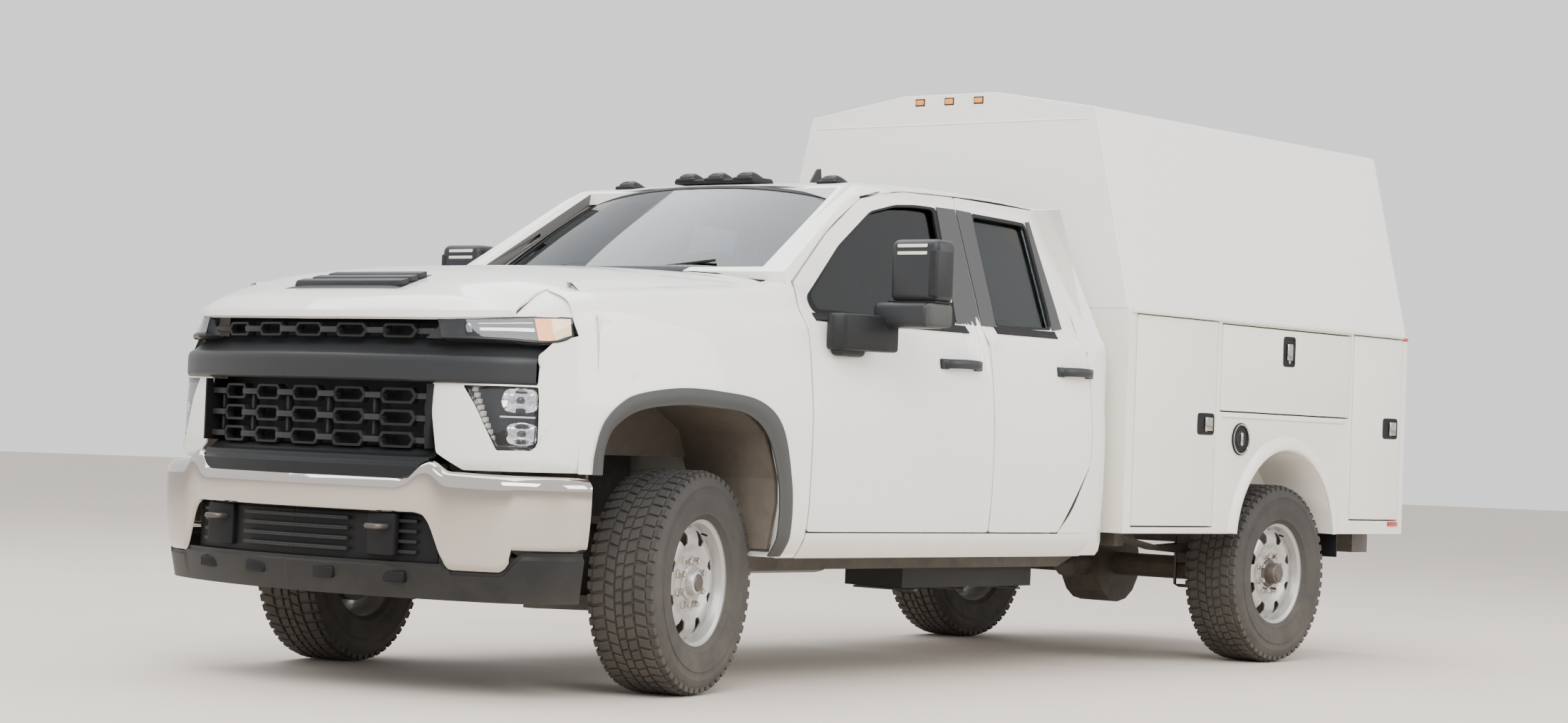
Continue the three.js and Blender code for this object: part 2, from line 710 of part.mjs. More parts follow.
function serviceBody() {
  const block = box(-BODY_HALF, BODY_HALF, BODY_FRONT, BODY_REAR, BODY_BOTTOM, BODY_TOP);
  const load = box(-LOAD_HALF, LOAD_HALF, BODY_FRONT + BODY_WALL, BODY_REAR + 1,
    LOAD_FLOOR, BODY_TOP + 1);
  const under = box(-LOAD_HALF + 30, LOAD_HALF - 30, BODY_FRONT - 1, BODY_REAR + 1,
    BODY_BOTTOM - 1, LOAD_FLOOR - 32);
  const bays = BAYS.map(([y0, y1, z0, z1]) => box(LOAD_HALF + BODY_WALL, BODY_HALF + 1,
    y0 - MOVING_GAP, y1 + MOVING_GAP, z0 - MOVING_GAP, z1 + MOVING_GAP));
  const arch = cylinder(ARCH_RADIUS, 400, 36, [BODY_HALF - 120, REAR_AXLE, ARCH_Z]);
  const archFoot = box(BODY_HALF - 320, BODY_HALF + 80, REAR_AXLE - ARCH_RADIUS,
    REAR_AXLE + ARCH_RADIUS, 0, ARCH_Z);
  const holes = bothSides(join(...bays, arch, archFoot));
  return cut(block, load, under, holes);
}

function compartmentDoor([y0, y1, z0, z1]) {
  return box(BODY_HALF - COMPARTMENT_DOOR, BODY_HALF, y0, y1, z0, z1);
}

const TOPPER_SECTION = symmetric([
  [BODY_HALF - 9, BODY_TOP + TOUCH],
  [TOPPER_EAVE_HALF, TOPPER_EAVE],
  [TOPPER_FLAT_HALF, TOPPER_TOP],
]);

function topper() {
  const shell = prismY(TOPPER_SECTION, BODY_FRONT, BODY_REAR);
  const section = inset(TOPPER_SECTION, TOPPER_WALL)
    .map(([x, z]) => [x, z < BODY_TOP + 2 * TOPPER_WALL ? BODY_TOP - 1 : z]);
  const space = prismY(section, BODY_FRONT + TOPPER_WALL, BODY_REAR - REAR_DOOR_WALL);
  const doorway = box(-REAR_DOOR_HALF - MOVING_GAP, REAR_DOOR_HALF + MOVING_GAP,
    BODY_REAR - 200, BODY_REAR + 1, BODY_TOP - 1, REAR_DOOR_TOP + MOVING_GAP);
  return cut(shell, space, doorway);
}

const REAR_DOOR_BOTTOM = LOAD_FLOOR + MOVING_GAP;
const REAR_PANE = [90, REAR_DOOR_HALF - 90, 1640, 2200];

function rearDoor() {
  const [x0, x1, z0, z1] = REAR_PANE;
  return cut(
    box(MOVING_GAP / 2, REAR_DOOR_HALF, BODY_REAR - REAR_DOOR_WALL, BODY_REAR,
      REAR_DOOR_BOTTOM, REAR_DOOR_TOP),
    box(x0, x1, BODY_REAR - 100, BODY_REAR + 1, z0, z1));
}

function rearPane() {
  const [x0, x1, z0, z1] = REAR_PANE;
  return box(x0 + TOUCH, x1 - TOUCH, BODY_REAR - 24, BODY_REAR - 24 + GLASS,
    z0 + TOUCH, z1 - TOUCH);
}

function rearStep() {
  const rear = REAR_AXLE + REAR_OVERHANG;
  const tread = box(-816, 816, rear - 150, rear, 500, 590);
  const receiver = box(-40, 40, rear - 300, rear - 20, 420, 500 + 1);
  const bore = box(-25.5, 25.5, rear - 220, rear, 435, 486);
  return cut(join(tread, receiver), bore);
}

// ---- cabin ---------------------------------------------------------------------------------

function dashboard() {
  return prismX([
    [DOOR_FRONT + 8, 1040], [DOOR_FRONT + 8, 1440], [700, 1490], [860, 1470], [930, 1380], [880, 1200], [820, 1040],
  ], -(CAB_HALF - 156), CAB_HALF - 156);
}

const DRIVER_X = 480;

function steeringWheel() {
  const ring = solid(new THREE.TorusGeometry(180, 15, 6, 20));
  const hub = cylinder(62, 50, 14, [0, 0, -10], 'z');
  const spoke = box(-176, 176, -22, 22, -22, -2);
  const tilt = THREE.MathUtils.degToRad(66);
  const geometry = geometryOf(join(ring, hub, spoke));
  geometry.rotateX(tilt - Math.PI).translate(DRIVER_X, 1010, 1390);
  return solid(geometry);
}

function seat(width, y, recline) {
  return prismX([
    [y, CAB_FLOOR + TOUCH], [y, 800], [y - 40, 860], [y - 20, 980], [y + 420, 950],
    [y + 420 + recline, 1560], [y + 460 + recline, 1700], [y + 540 + recline, 1700],
    [y + 570 + recline, 1540], [y + 560, 940], [y + 540, CAB_FLOOR + TOUCH],
  ], -width / 2, width / 2);
}

function mirror() {
  const head = box(CAB_HALF + 76, CAB_HALF + 314, 925, 1060, 1440, 1738);
  const arm = box(CAB_HALF + 24, CAB_HALF + 304, 900, 1010, 1398, 1470);
  const foot = prismZ([
    [CAB_HALF - 26, 700], [CAB_HALF + 10, 700], [CAB_HALF + 84, 900], [CAB_HALF + 84, 1000],
    [CAB_HALF + 4, 1000], [CAB_HALF - 26, 860],
  ], 1290, 1420);
  return join(head, arm, foot);
}

// ---- scene graph ---------------------------------------------------------------------------

const part = new THREE.Group();
const truck = new THREE.Group();
truck.position.y = FRONT_OVERHANG - (FRONT_OVERHANG + WHEELBASE + REAR_OVERHANG) / 2;
part.add(truck);

function place(name, body, material, parent = truck) {
  const mesh = new THREE.Mesh(geometryOf(body), material);
  mesh.name = name;
  parent.add(mesh);
  return mesh;
}

function placePair(name, body, material) {
  place(`left_${name}`, body, material);
  place(`right_${name}`, mirrored(body), material);
}

function buildChassis() {
  place('frame', ladderFrame(), CHASSIS);
  place('engine', box(-270, 270, -420, 430, 560, 1230), CHASSIS);
  place('driveline', driveline(), CHASSIS);
  place('front_suspension', frontSuspension(), CHASSIS);
  place('rear_axle', rearAxle(), CHASSIS);
  place('exhaust', exhaust(), STEEL);
  place('fuel_tank', box(70, FRAME_HALF - RAIL_WIDTH - 12, 2050, 3000, 335, 515), BLACK);
}

function buildWheels() {
  const tyreBody = tyre();
  const rimBody = rim();
  const knuckleBody = knuckle();
  for (const [side, sign] of [['left', 1], ['right', -1]]) {
    const steered = new THREE.Group();
    steered.position.set(sign * KINGPIN_X, 0, HUB_Z);
    steered.rotation.z = STEER_ANGLE;
    truck.add(steered);
    const outboard = (body) => (sign > 0 ? body : mirrored(body));
    place(`${side}_knuckle`, outboard(knuckleBody), CHASSIS, steered);
    const front = new THREE.Group();
    front.position.x = sign * KINGPIN_INSET;
    steered.add(front);
    const rear = new THREE.Group();
    rear.position.set(sign * HALF_TRACK, REAR_AXLE, HUB_Z);
    truck.add(rear);
    for (const [end, group] of [['front', front], ['rear', rear]]) {
      place(`${side}_${end}_rim`, outboard(rimBody), STEEL, group);
      place(`${side}_${end}_tyre`, outboard(tyreBody), RUBBER, group);
    }
  }
}

function buildFront() {
  place('front_bumper', frontBumper(), CHROME);
  place('lower_valance', valance(), BLACK);
  place('grille', grille(), BLACK);
  place('hood', hood(), WHITE);
  placePair('headlamp', headlamp(), LENS);
  placePair('fender', fender(), WHITE);
  placePair('wheel_liner', wheelLiner(), TRIM);
}

function buildCab() {
  const openings = bothSides(join(doorOpening(FRONT_DOOR_OUTLINE),
    doorOpening(REAR_DOOR_OUTLINE)));
  const screen = prismZ(SCREEN_OUTLINE, SHOULDER_Z + 120, ROOF_Z + 10);
  const backLight = prismY(BACK_LIGHT, CAB_BACK - 400, CAB_BACK + 10);
  const clipZone = cut(clipForm(-6), clipForm(HOOD_WALL + 8))
    .intersect(box(-CAB_HALF - 20, CAB_HALF + 20, 0, DOOR_FRONT, 0, ROOF_Z));
  const tunnel = box(-190, 190, 0, 1600, 0, 790);
  const hump = box(-225, 225, FIREWALL + 20, 1640, CAB_FLOOR - 30, 825);
  const under = box(-CAB_HALF + 140, CAB_HALF - 140, 0, CAB_BACK + 10, 0, CAB_FLOOR - 30);
  const shell = join(cut(cabOuter, cabCavity, openings, screen, backLight, under),
    bothSides(centrePillar()), hump);
  place('cab_shell', cut(shell, tunnel, clipZone), WHITE);
  place('windshield', cut(cabOuter, cabForm(GLASS + 4)).intersect(
    prismZ(inset(SCREEN_OUTLINE, TOUCH), SHOULDER_Z + 120, ROOF_Z + 10)), GLAZING);
  place('back_window', cut(cabOuter, cabForm(GLASS)).intersect(
    prismY(inset(BACK_LIGHT, TOUCH), CAB_BACK - 400, CAB_BACK + 10)), GLAZING);
  placePair('front_door', doorPanel(FRONT_DOOR_OUTLINE, FRONT_WINDOW), WHITE);
  placePair('rear_door', doorPanel(REAR_DOOR_OUTLINE, REAR_WINDOW), WHITE);
  placePair('front_door_glass', doorGlass(FRONT_WINDOW), GLAZING);
  placePair('rear_door_glass', doorGlass(REAR_WINDOW), GLAZING);
  placePair('mirror', mirror(), BLACK);
  place('dashboard', dashboard(), TRIM);
  place('steering_wheel', steeringWheel(), TRIM);
  place('left_seat', seat(500, 1130, 60).translate([DRIVER_X, 0, 0]), CLOTH);
  place('right_seat', seat(500, 1130, 60).translate([-DRIVER_X, 0, 0]), CLOTH);
  place('rear_bench', seat(1380, CAB_BACK - 740, 60), CLOTH);
}

function buildServiceBody() {
  place('service_body', serviceBody(), WHITE);
  place('topper', topper(), WHITE);
  placePair('front_locker_door', compartmentDoor(FRONT_BAY), WHITE);
  placePair('middle_locker_door', compartmentDoor(MIDDLE_BAY), WHITE);
  placePair('rear_locker_door', compartmentDoor(REAR_BAY), WHITE);
  placePair('tail_door', rearDoor(), WHITE);
  placePair('tail_door_glass', rearPane(), GLAZING);
  place('rear_step', rearStep(), CHASSIS);
}

buildChassis();
buildWheels();
buildFront();
buildCab();
buildServiceBody();

export default part;
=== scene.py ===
"""Looks of the utility pickup truck: skins, trim, wheels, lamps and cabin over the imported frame.

Lengths inside the classes are millimetres, with y counted from the front axle towards the rear.
"""

import json
import logging
import math
from collections.abc import Callable, Sequence
from dataclasses import dataclass, field
from enum import Enum

import bmesh
import bpy
import numpy as np
from mathutils import Matrix, Vector

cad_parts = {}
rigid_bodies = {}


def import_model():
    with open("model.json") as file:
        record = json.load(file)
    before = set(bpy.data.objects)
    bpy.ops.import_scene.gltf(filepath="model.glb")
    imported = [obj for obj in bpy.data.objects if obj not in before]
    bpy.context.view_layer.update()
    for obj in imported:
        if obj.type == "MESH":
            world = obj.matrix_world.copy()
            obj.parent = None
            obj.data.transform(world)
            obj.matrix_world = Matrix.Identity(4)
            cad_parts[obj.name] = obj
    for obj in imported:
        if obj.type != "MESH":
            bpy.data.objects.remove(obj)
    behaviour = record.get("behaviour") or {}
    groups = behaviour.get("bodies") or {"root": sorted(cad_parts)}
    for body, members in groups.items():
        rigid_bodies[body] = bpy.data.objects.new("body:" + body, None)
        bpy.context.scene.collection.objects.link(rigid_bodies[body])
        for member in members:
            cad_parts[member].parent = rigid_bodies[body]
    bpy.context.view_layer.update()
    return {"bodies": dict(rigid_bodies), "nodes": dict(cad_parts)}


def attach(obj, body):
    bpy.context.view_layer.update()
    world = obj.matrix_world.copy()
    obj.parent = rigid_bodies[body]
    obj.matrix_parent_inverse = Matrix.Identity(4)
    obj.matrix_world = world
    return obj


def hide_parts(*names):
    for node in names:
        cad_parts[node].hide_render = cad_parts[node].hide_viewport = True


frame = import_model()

AXLE_Y = -2085.0  # front axle, from the middle of the truck
LOG = logging.getLogger("truck")

Flat = tuple[float, float]
Where = Callable[[float, float], Vector]
Mesh = bmesh.types.BMesh
Tree = bpy.types.NodeTree
Node = bpy.types.Node
Socket = bpy.types.NodeSocket


def at(x: float, y: float, z: float) -> Vector:
    """A point in metres, from millimetres with y counted from the front axle."""
    return Vector((x, y + AXLE_Y, z)) / 1000


def mix(a: float, b: float, t: float) -> float:
    """The value a share t of the way from a to b."""
    return a + (b - a) * t


class Curve:
    """A smooth curve through points that never overshoots them."""

    def __init__(self, points: Sequence[Flat]) -> None:
        """Keeps the points and works out the slope at each.

        Args:
            points: pairs of position and value, with rising positions.
        """
        self.x = np.array([p[0] for p in points], float)
        self.y = np.array([p[1] for p in points], float)
        step = np.diff(self.y) / np.diff(self.x)
        slope = np.zeros(len(self.x))
        slope[0], slope[-1] = step[0], step[-1]
        for i in range(1, len(step)):
            if step[i - 1] * step[i] > 0:
                slope[i] = 2 * step[i - 1] * step[i] / (step[i - 1] + step[i])
        self.slope = slope

    def __call__(self, x: float) -> float:
        """The value at a position; outside the points the end value holds."""
        x = min(max(x, self.x[0]), self.x[-1])
        i = int(min(np.searchsorted(self.x, x, side="right") - 1, len(self.x) - 2))
        width = self.x[i + 1] - self.x[i]
        t = (x - self.x[i]) / width
        a, b = self.y[i], self.y[i + 1]
        m, n = self.slope[i] * width, self.slope[i + 1] * width
        return float(a + t * (m + t * (3 * (b - a) - 2 * m - n + t * (2 * (a - b) + m + n))))


class Path:
    """A line of corner points, walked by a share of its length."""

    def __init__(self, points: Sequence[Sequence[float]], rounded: bool = True) -> None:
        """Samples the line densely.

        Args:
            points: corner points of any dimension.
            rounded: True to run a smooth spline through them.
        """
        pts = np.array(points, float)
        if rounded and len(pts) > 2:
            ends = np.vstack([2 * pts[0] - pts[1], pts, 2 * pts[-1] - pts[-2]])
            fine = []
            for i in range(1, len(ends) - 2):
                a, b, c, d = ends[i - 1], ends[i], ends[i + 1], ends[i + 2]
                for t in np.linspace(0, 1, 12, endpoint=False):
                    fine.append(0.5 * (2 * b + (c - a) * t + (2 * a - 5 * b + 4 * c - d) * t * t
                                       + (3 * b - a - 3 * c + d) * t ** 3))
            pts = np.array(fine + [ends[-2]])
        self.points = pts
        self.length = np.concatenate([[0], np.cumsum(np.linalg.norm(np.diff(pts, axis=0), axis=1))])

    def __call__(self, share: float) -> np.ndarray:
        """The point at a share of the length."""
        s = share * self.length[-1]
        return np.array([np.interp(s, self.length, self.points[:, k])
                         for k in range(self.points.shape[1])])


# ---- shapes -------------------------------------------------------------------------------------


def block(lo: Sequence[float], hi: Sequence[float], soft: float = 0, segments: int = 2) -> Mesh:
    """A box between two corners with softened edges.

    Args:
        lo: lowest corner, in mm.
        hi: highest corner, in mm.
        soft: bevel width, in mm.
        segments: steps round each edge.

    Returns:
        The box's mesh.
    """
    mesh = bmesh.new()
    bmesh.ops.create_cube(mesh, size=1)
    a, b = at(*lo), at(*hi)
    bmesh.ops.scale(mesh, vec=b - a, verts=mesh.verts)
    bmesh.ops.translate(mesh, vec=(a + b) / 2, verts=mesh.verts)
    return softened(mesh, soft, segments)


def softened(mesh: Mesh, width: float, segments: int = 2, limit: float = 30) -> Mesh:
    """Bevels every edge sharper than a limit.

    Args:
        mesh: the mesh to change.
        width: bevel width, in mm.
        segments: steps round each edge.
        limit: smallest angle that is bevelled, in degrees.

    Returns:
        The same mesh.
    """
    if width > 0:
        edges = [e for e in mesh.edges if e.is_manifold and e.calc_face_angle(0) > math.radians(limit)]
        bmesh.ops.bevel(mesh, geom=edges, offset=width / 1000, offset_type="OFFSET", segments=segments,
                        profile=0.5, affect="EDGES", material=-1, clamp_overlap=True)
    return mesh


def prism(outline: Sequence[Flat], axis: str, start: float, end: float, soft: float = 0,
          segments: int = 2) -> Mesh:
    """An outline pushed along an axis.

    Args:
        outline: corners; (y, z) for axis x, (x, z) for axis y, (x, y) for axis z.
        axis: "x", "y" or "z".
        start: first end along the axis, in mm.
        end: second end along the axis, in mm.
        soft: bevel width, in mm.
        segments: steps round each edge.

    Returns:
        The prism's mesh.
    """
    order = {"x": lambda p, d: at(d, p[0], p[1]), "y": lambda p, d: at(p[0], d, p[1]),
             "z": lambda p, d: at(p[0], p[1], d)}[axis]
    mesh = bmesh.new()
    face = mesh.faces.new([mesh.verts.new(order(p, start)) for p in outline])
    made = bmesh.ops.extrude_face_region(mesh, geom=[face])
    verts = [g for g in made["geom"] if isinstance(g, bmesh.types.BMVert)]
    bmesh.ops.translate(mesh, vec=order(outline[0], end) - order(outline[0], start), verts=verts)
    bmesh.ops.recalc_face_normals(mesh, faces=mesh.faces)
    return softened(mesh, soft, segments)


def lathe(profile: Sequence[Flat], centre: Sequence[float], axis: Sequence[float] = (1, 0, 0),
          steps: int = 48) -> Mesh:
    """A profile spun a full turn.

    Args:
        profile: pairs of distance along the axis and radius, in mm.
        centre: point on the axis where the distance is 0, in mm.
        axis: direction of the axis.
        steps: facets round the turn.

    Returns:
        The turned mesh.
    """
    mesh = bmesh.new()
    way = Vector(axis).normalized()
    side = way.orthogonal().normalized()
    middle = at(*centre)
    verts = [mesh.verts.new(middle + way * (d / 1000) + side * (r / 1000)) for d, r in profile]
    for a, b in zip(verts, verts[1:]):
        mesh.edges.new((a, b))
    bmesh.ops.spin(mesh, geom=list(mesh.verts) + list(mesh.edges), cent=middle, axis=way,
                   angle=2 * math.pi, steps=steps, use_merge=True, use_duplicate=False)
    bmesh.ops.remove_doubles(mesh, verts=mesh.verts, dist=1e-5)
    bmesh.ops.recalc_face_normals(mesh, faces=mesh.faces)
    return mesh


def sheet(across: int, along: int, where: Where, closed: bool = False) -> Mesh:
    """A grid laid on a surface.

    Args:
        across: squares in the first direction.
        along: squares in the second direction.
        where: gives the point for two shares from 0 to 1.
        closed: True when the first direction runs round and meets itself.

    Returns:
        The grid's mesh.
    """
    mesh = bmesh.new()
    bmesh.ops.create_grid(mesh, x_segments=across, y_segments=along, size=0.5)
    for vert in mesh.verts:
        vert.co = where(vert.co.x + 0.5, vert.co.y + 0.5)
    if closed:
        bmesh.ops.remove_doubles(mesh, verts=mesh.verts, dist=1e-5)
    return mesh


def facing(mesh: Mesh, way: Sequence[float]) -> Mesh:
    """Turns an open sheet so that its faces look, on the whole, along a direction."""
    mesh.normal_update()
    total = sum((f.normal * f.calc_area() for f in mesh.faces), Vector())
    if total.dot(Vector(way)) < 0:
        bmesh.ops.reverse_faces(mesh, faces=mesh.faces)
    mesh.normal_update()
    return mesh


def flipped(mesh: Mesh) -> Mesh:
    """A copy on the other side of the truck, with its faces still outwards."""
    other = mesh.copy()
    bmesh.ops.scale(other, vec=(-1, 1, 1), verts=other.verts)
    bmesh.ops.reverse_faces(other, faces=other.faces)
    other.normal_update()
    return other


def poured(part: Mesh, whole: Mesh) -> None:
    """Adds a mesh to another and frees it."""
    step = bpy.data.meshes.new("step")
    part.to_mesh(step)
    whole.from_mesh(step)
    bpy.data.meshes.remove(step)
    part.free()


def pipe(route: Sequence[Sequence[float]], radius: float, sides: int = 12, along: int = 24,
         flat: float = 1.0, rounded: bool = True) -> Mesh:
    """A bar bent along a route, with closed ends.

    Args:
        route: points in mm that its middle runs through.
        radius: half its thickness, in mm.
        sides: facets round the bar.
        along: steps along the route.
        flat: height of the section as a share of its width.
        rounded: True to smooth the route.

    Returns:
        The bar's mesh.
    """
    line = Path(route, rounded)

    def where(u: float, v: float) -> Vector:
        here, ahead = line(v), line(min(v + 0.01, 1)) - line(max(v - 0.01, 0))
        way = Vector(ahead).normalized()
        side = way.cross(Vector((0, 0, 1)))
        side = side.normalized() if side.length > 1e-3 else Vector((1, 0, 0))
        up = side.cross(way)
        turn = 2 * math.pi * u
        off = side * (radius * math.cos(turn)) + up * (radius * flat * math.sin(turn))
        return at(*(np.array(here) + np.array(off)))

    mesh = sheet(sides, along, where, closed=True)
    bmesh.ops.holes_fill(mesh, edges=mesh.edges, sides=0)
    bmesh.ops.recalc_face_normals(mesh, faces=mesh.faces)
    return mesh


def loop(corners: Sequence[Flat], radius: float = 0, per_side: int = 6) -> list[Flat]:
    """Evenly stepped points round an outline, with rounded corners.

    Args:
        corners: the outline's corners, in order.
        radius: corner radius, in mm.
        per_side: points on each side, the same for every outline that is matched to this one.

    Returns:
        The points, per_side for each corner.
    """
    pts = [np.array(c, float) for c in corners]
    count, out = len(pts), []
    for i in range(count):
        a, b, c = pts[i], pts[(i + 1) % count], pts[i - 1]
        ahead, back = b - a, c - a
        cut_a = min(radius, np.linalg.norm(ahead) / 2.2)
        cut_b = min(radius, np.linalg.norm(back) / 2.2)
        start = a + ahead / np.linalg.norm(ahead) * cut_a
        finish = a + back / np.linalg.norm(back) * cut_b
        after = b - a
        end = b - after / np.linalg.norm(after) * min(radius, np.linalg.norm(after) / 2.2)
        arc = 3 if radius > 0 else 0
        for k in range(arc):
            t = (k + 1) / (arc + 1)
            out.append(tuple((1 - t) ** 2 * finish + 2 * t * (1 - t) * a + t * t * start))
        for k in range(per_side - arc):
            out.append(tuple(mix(start, end, k / (per_side - arc))))
    return out


def ring(outer: Sequence[Flat], inner: Sequence[Flat], rows: int, where: Where) -> Mesh:
    """A band between two matched closed outlines.

    Args:
        outer: outside points.
        inner: inside points, as many as outside.
        rows: squares across the band.
        where: gives the point in space for a point of the flat outlines.

    Returns:
        The band's mesh.
    """
    count = len(outer)

    def spot(u: float, v: float) -> Vector:
        i = int(round(u * count)) % count
        a, b = outer[i], inner[i]
        return where(mix(a[0], b[0], v), mix(a[1], b[1], v))

    return sheet(count, rows, spot, closed=True)


# ---- finishes -----------------------------------------------------------------------------------


class Effect(Enum):
    """Shader node groups that several finishes share."""

    GRAIN = "fine_grain"
    MOTTLE = "mottled_colour"
    DUST = "road_dust"
    WEAR = "edge_wear"


VECTOR, COLOR, FLOAT = "NodeSocketVector", "NodeSocketColor", "NodeSocketFloat"


def fed(tree: Tree, node: Node, inputs: dict) -> Node:
    """Links or sets inputs of a node."""
    for key, value in inputs.items():
        if isinstance(value, Socket):
            tree.links.new(value, node.inputs[key])
        else:
            node.inputs[key].default_value = value
    return node


class Effects:
    """Builds each shared shader group once."""

    def __init__(self) -> None:
        """Makes the four groups."""
        self.groups: dict[Effect, Tree] = {}
        self._grain()
        self._mottle()
        self._dust()
        self._wear()

    def _start(self, effect: Effect, inputs: dict[str, str], outputs: dict[str, str]) -> Tree:
        """An empty group with its sockets and its input and output nodes."""
        tree = bpy.data.node_groups.new(effect.value, "ShaderNodeTree")
        for name, kind in inputs.items():
            tree.interface.new_socket(name=name, in_out="INPUT", socket_type=kind)
        for name, kind in outputs.items():
            tree.interface.new_socket(name=name, in_out="OUTPUT", socket_type=kind)
        self.groups[effect] = tree
        return tree

    @staticmethod
    def node(tree: Tree, kind: str, inputs: dict | None = None, **settings: object) -> Node:
        """Adds a node, sets its fields, and links or sets its inputs."""
        made = tree.nodes.new(kind)
        for name, value in settings.items():
            setattr(made, name, value)
        return fed(tree, made, inputs or {})

    @staticmethod
    def group(tree: Tree, effect: Effect, inputs: dict) -> Node:
        """Places a shared effect in a material."""
        return Effects.node(tree, "ShaderNodeGroup", inputs, node_tree=EFFECTS.groups[effect])

    @staticmethod
    def product(tree: Tree, a: Socket, b: Socket, **settings: object) -> Socket:
        """The product of two values."""
        return Effects.node(tree, "ShaderNodeMath", {0: a, 1: b}, operation="MULTIPLY", **settings).outputs[0]

    @staticmethod
    def blend(tree: Tree, share: Socket, first: Socket | tuple, second: Socket | tuple) -> Socket:
        """The colour a share of the way from the first to the second."""
        return Effects.node(tree, "ShaderNodeMix", {0: share, 6: first, 7: second},
                            data_type="RGBA").outputs[2]

    def _grain(self) -> None:
        """Height of a fine moulded or sprayed grain."""
        tree = self._start(Effect.GRAIN, {"Vector": VECTOR, "Scale": FLOAT, "Softness": FLOAT},
                           {"Height": FLOAT})
        source = self.node(tree, "NodeGroupInput").outputs
        fine = self.node(tree, "ShaderNodeTexNoise", {
            "Vector": source["Vector"], "Scale": source["Scale"], "Detail": 3.0,
            "Roughness": source["Softness"]})
        self.node(tree, "NodeGroupOutput", {"Height": fine.outputs["Fac"]})

    def _mottle(self) -> None:
        """Slow drift of a colour between itself and a second one."""
        tree = self._start(Effect.MOTTLE, {"Vector": VECTOR, "Color": COLOR, "Second": COLOR, "Scale": FLOAT,
                                           "Amount": FLOAT}, {"Color": COLOR})
        source = self.node(tree, "NodeGroupInput").outputs
        cloud = self.node(tree, "ShaderNodeTexNoise", {
            "Vector": source["Vector"], "Scale": source["Scale"], "Detail": 4.0, "Roughness": 0.6})
        share = self.product(tree, cloud.outputs["Fac"], source["Amount"])
        self.node(tree, "NodeGroupOutput", {
            "Color": self.blend(tree, share, source["Color"], source["Second"])})

    def _dust(self) -> None:
        """Road dust that thins out with height above the ground."""
        tree = self._start(Effect.DUST, {"Vector": VECTOR, "Color": COLOR, "Roughness": FLOAT, "Dust": COLOR,
                                         "Reach": FLOAT, "Amount": FLOAT},
                           {"Color": COLOR, "Roughness": FLOAT})
        source = self.node(tree, "NodeGroupInput").outputs
        height = self.node(tree, "ShaderNodeSeparateXYZ", {"Vector": source["Vector"]})
        patch = self.node(tree, "ShaderNodeTexNoise", {
            "Vector": source["Vector"], "Scale": 7.0, "Detail": 6.0, "Roughness": 0.68})
        low = self.node(tree, "ShaderNodeMapRange", {
            "Value": height.outputs["Z"], "From Min": source["Reach"], "From Max": 0.15, "To Min": 0.0,
            "To Max": 1.0})
        rough = self.node(tree, "ShaderNodeMapRange", {
            "Value": patch.outputs["Fac"], "From Min": 0.3, "From Max": 0.7, "To Min": 0.25, "To Max": 1.0})
        both = self.product(tree, low.outputs[0], rough.outputs[0])
        mask = self.product(tree, both, source["Amount"], use_clamp=True)
        colour = self.blend(tree, mask, source["Color"], source["Dust"])
        gloss = self.node(tree, "ShaderNodeMix", {0: mask, 2: source["Roughness"], 3: 0.9})
        self.node(tree, "NodeGroupOutput", {"Color": colour, "Roughness": gloss.outputs[0]})

    def _wear(self) -> None:
        """Lighter colour where handling has rubbed the outer edges."""
        tree = self._start(Effect.WEAR, {"Vector": VECTOR, "Color": COLOR, "Worn": COLOR, "Amount": FLOAT},
                           {"Color": COLOR})
        source = self.node(tree, "NodeGroupInput").outputs
        edge = self.node(tree, "ShaderNodeNewGeometry")
        sharp = self.node(tree, "ShaderNodeMapRange", {
            "Value": edge.outputs["Pointiness"], "From Min": 0.52, "From Max": 0.6})
        breakup = self.node(tree, "ShaderNodeTexNoise", {"Vector": source["Vector"], "Scale": 38.0})
        spots = self.product(tree, sharp.outputs[0], breakup.outputs["Fac"])
        share = self.product(tree, spots, source["Amount"], use_clamp=True)
        self.node(tree, "NodeGroupOutput", {
            "Color": self.blend(tree, share, source["Color"], source["Worn"])})


EFFECTS = Effects()
Tint = tuple[float, float, float]
ROAD_DUST: Tint = (0.36, 0.30, 0.23)


class Look:
    """A finish whose material is made the first time it is asked for."""

    name: str
    slot: str

    def lay(self, tree: Tree, shader: Node, coords: Socket) -> None:
        """Sets up the shader; each kind of finish has its own way.

        Args:
            tree: the material's nodes.
            shader: its main shader.
            coords: the object's own coordinates.
        """
        raise NotImplementedError

    def material(self) -> bpy.types.Material:
        """The material."""
        made = bpy.data.materials.get(self.name)
        if made is None:
            made = bpy.data.materials.new(self.name)
            made.use_nodes = True
            tree = made.node_tree
            coords = Effects.node(tree, "ShaderNodeTexCoord").outputs["Object"]
            self.lay(tree, tree.nodes["Principled BSDF"], coords)
        return made


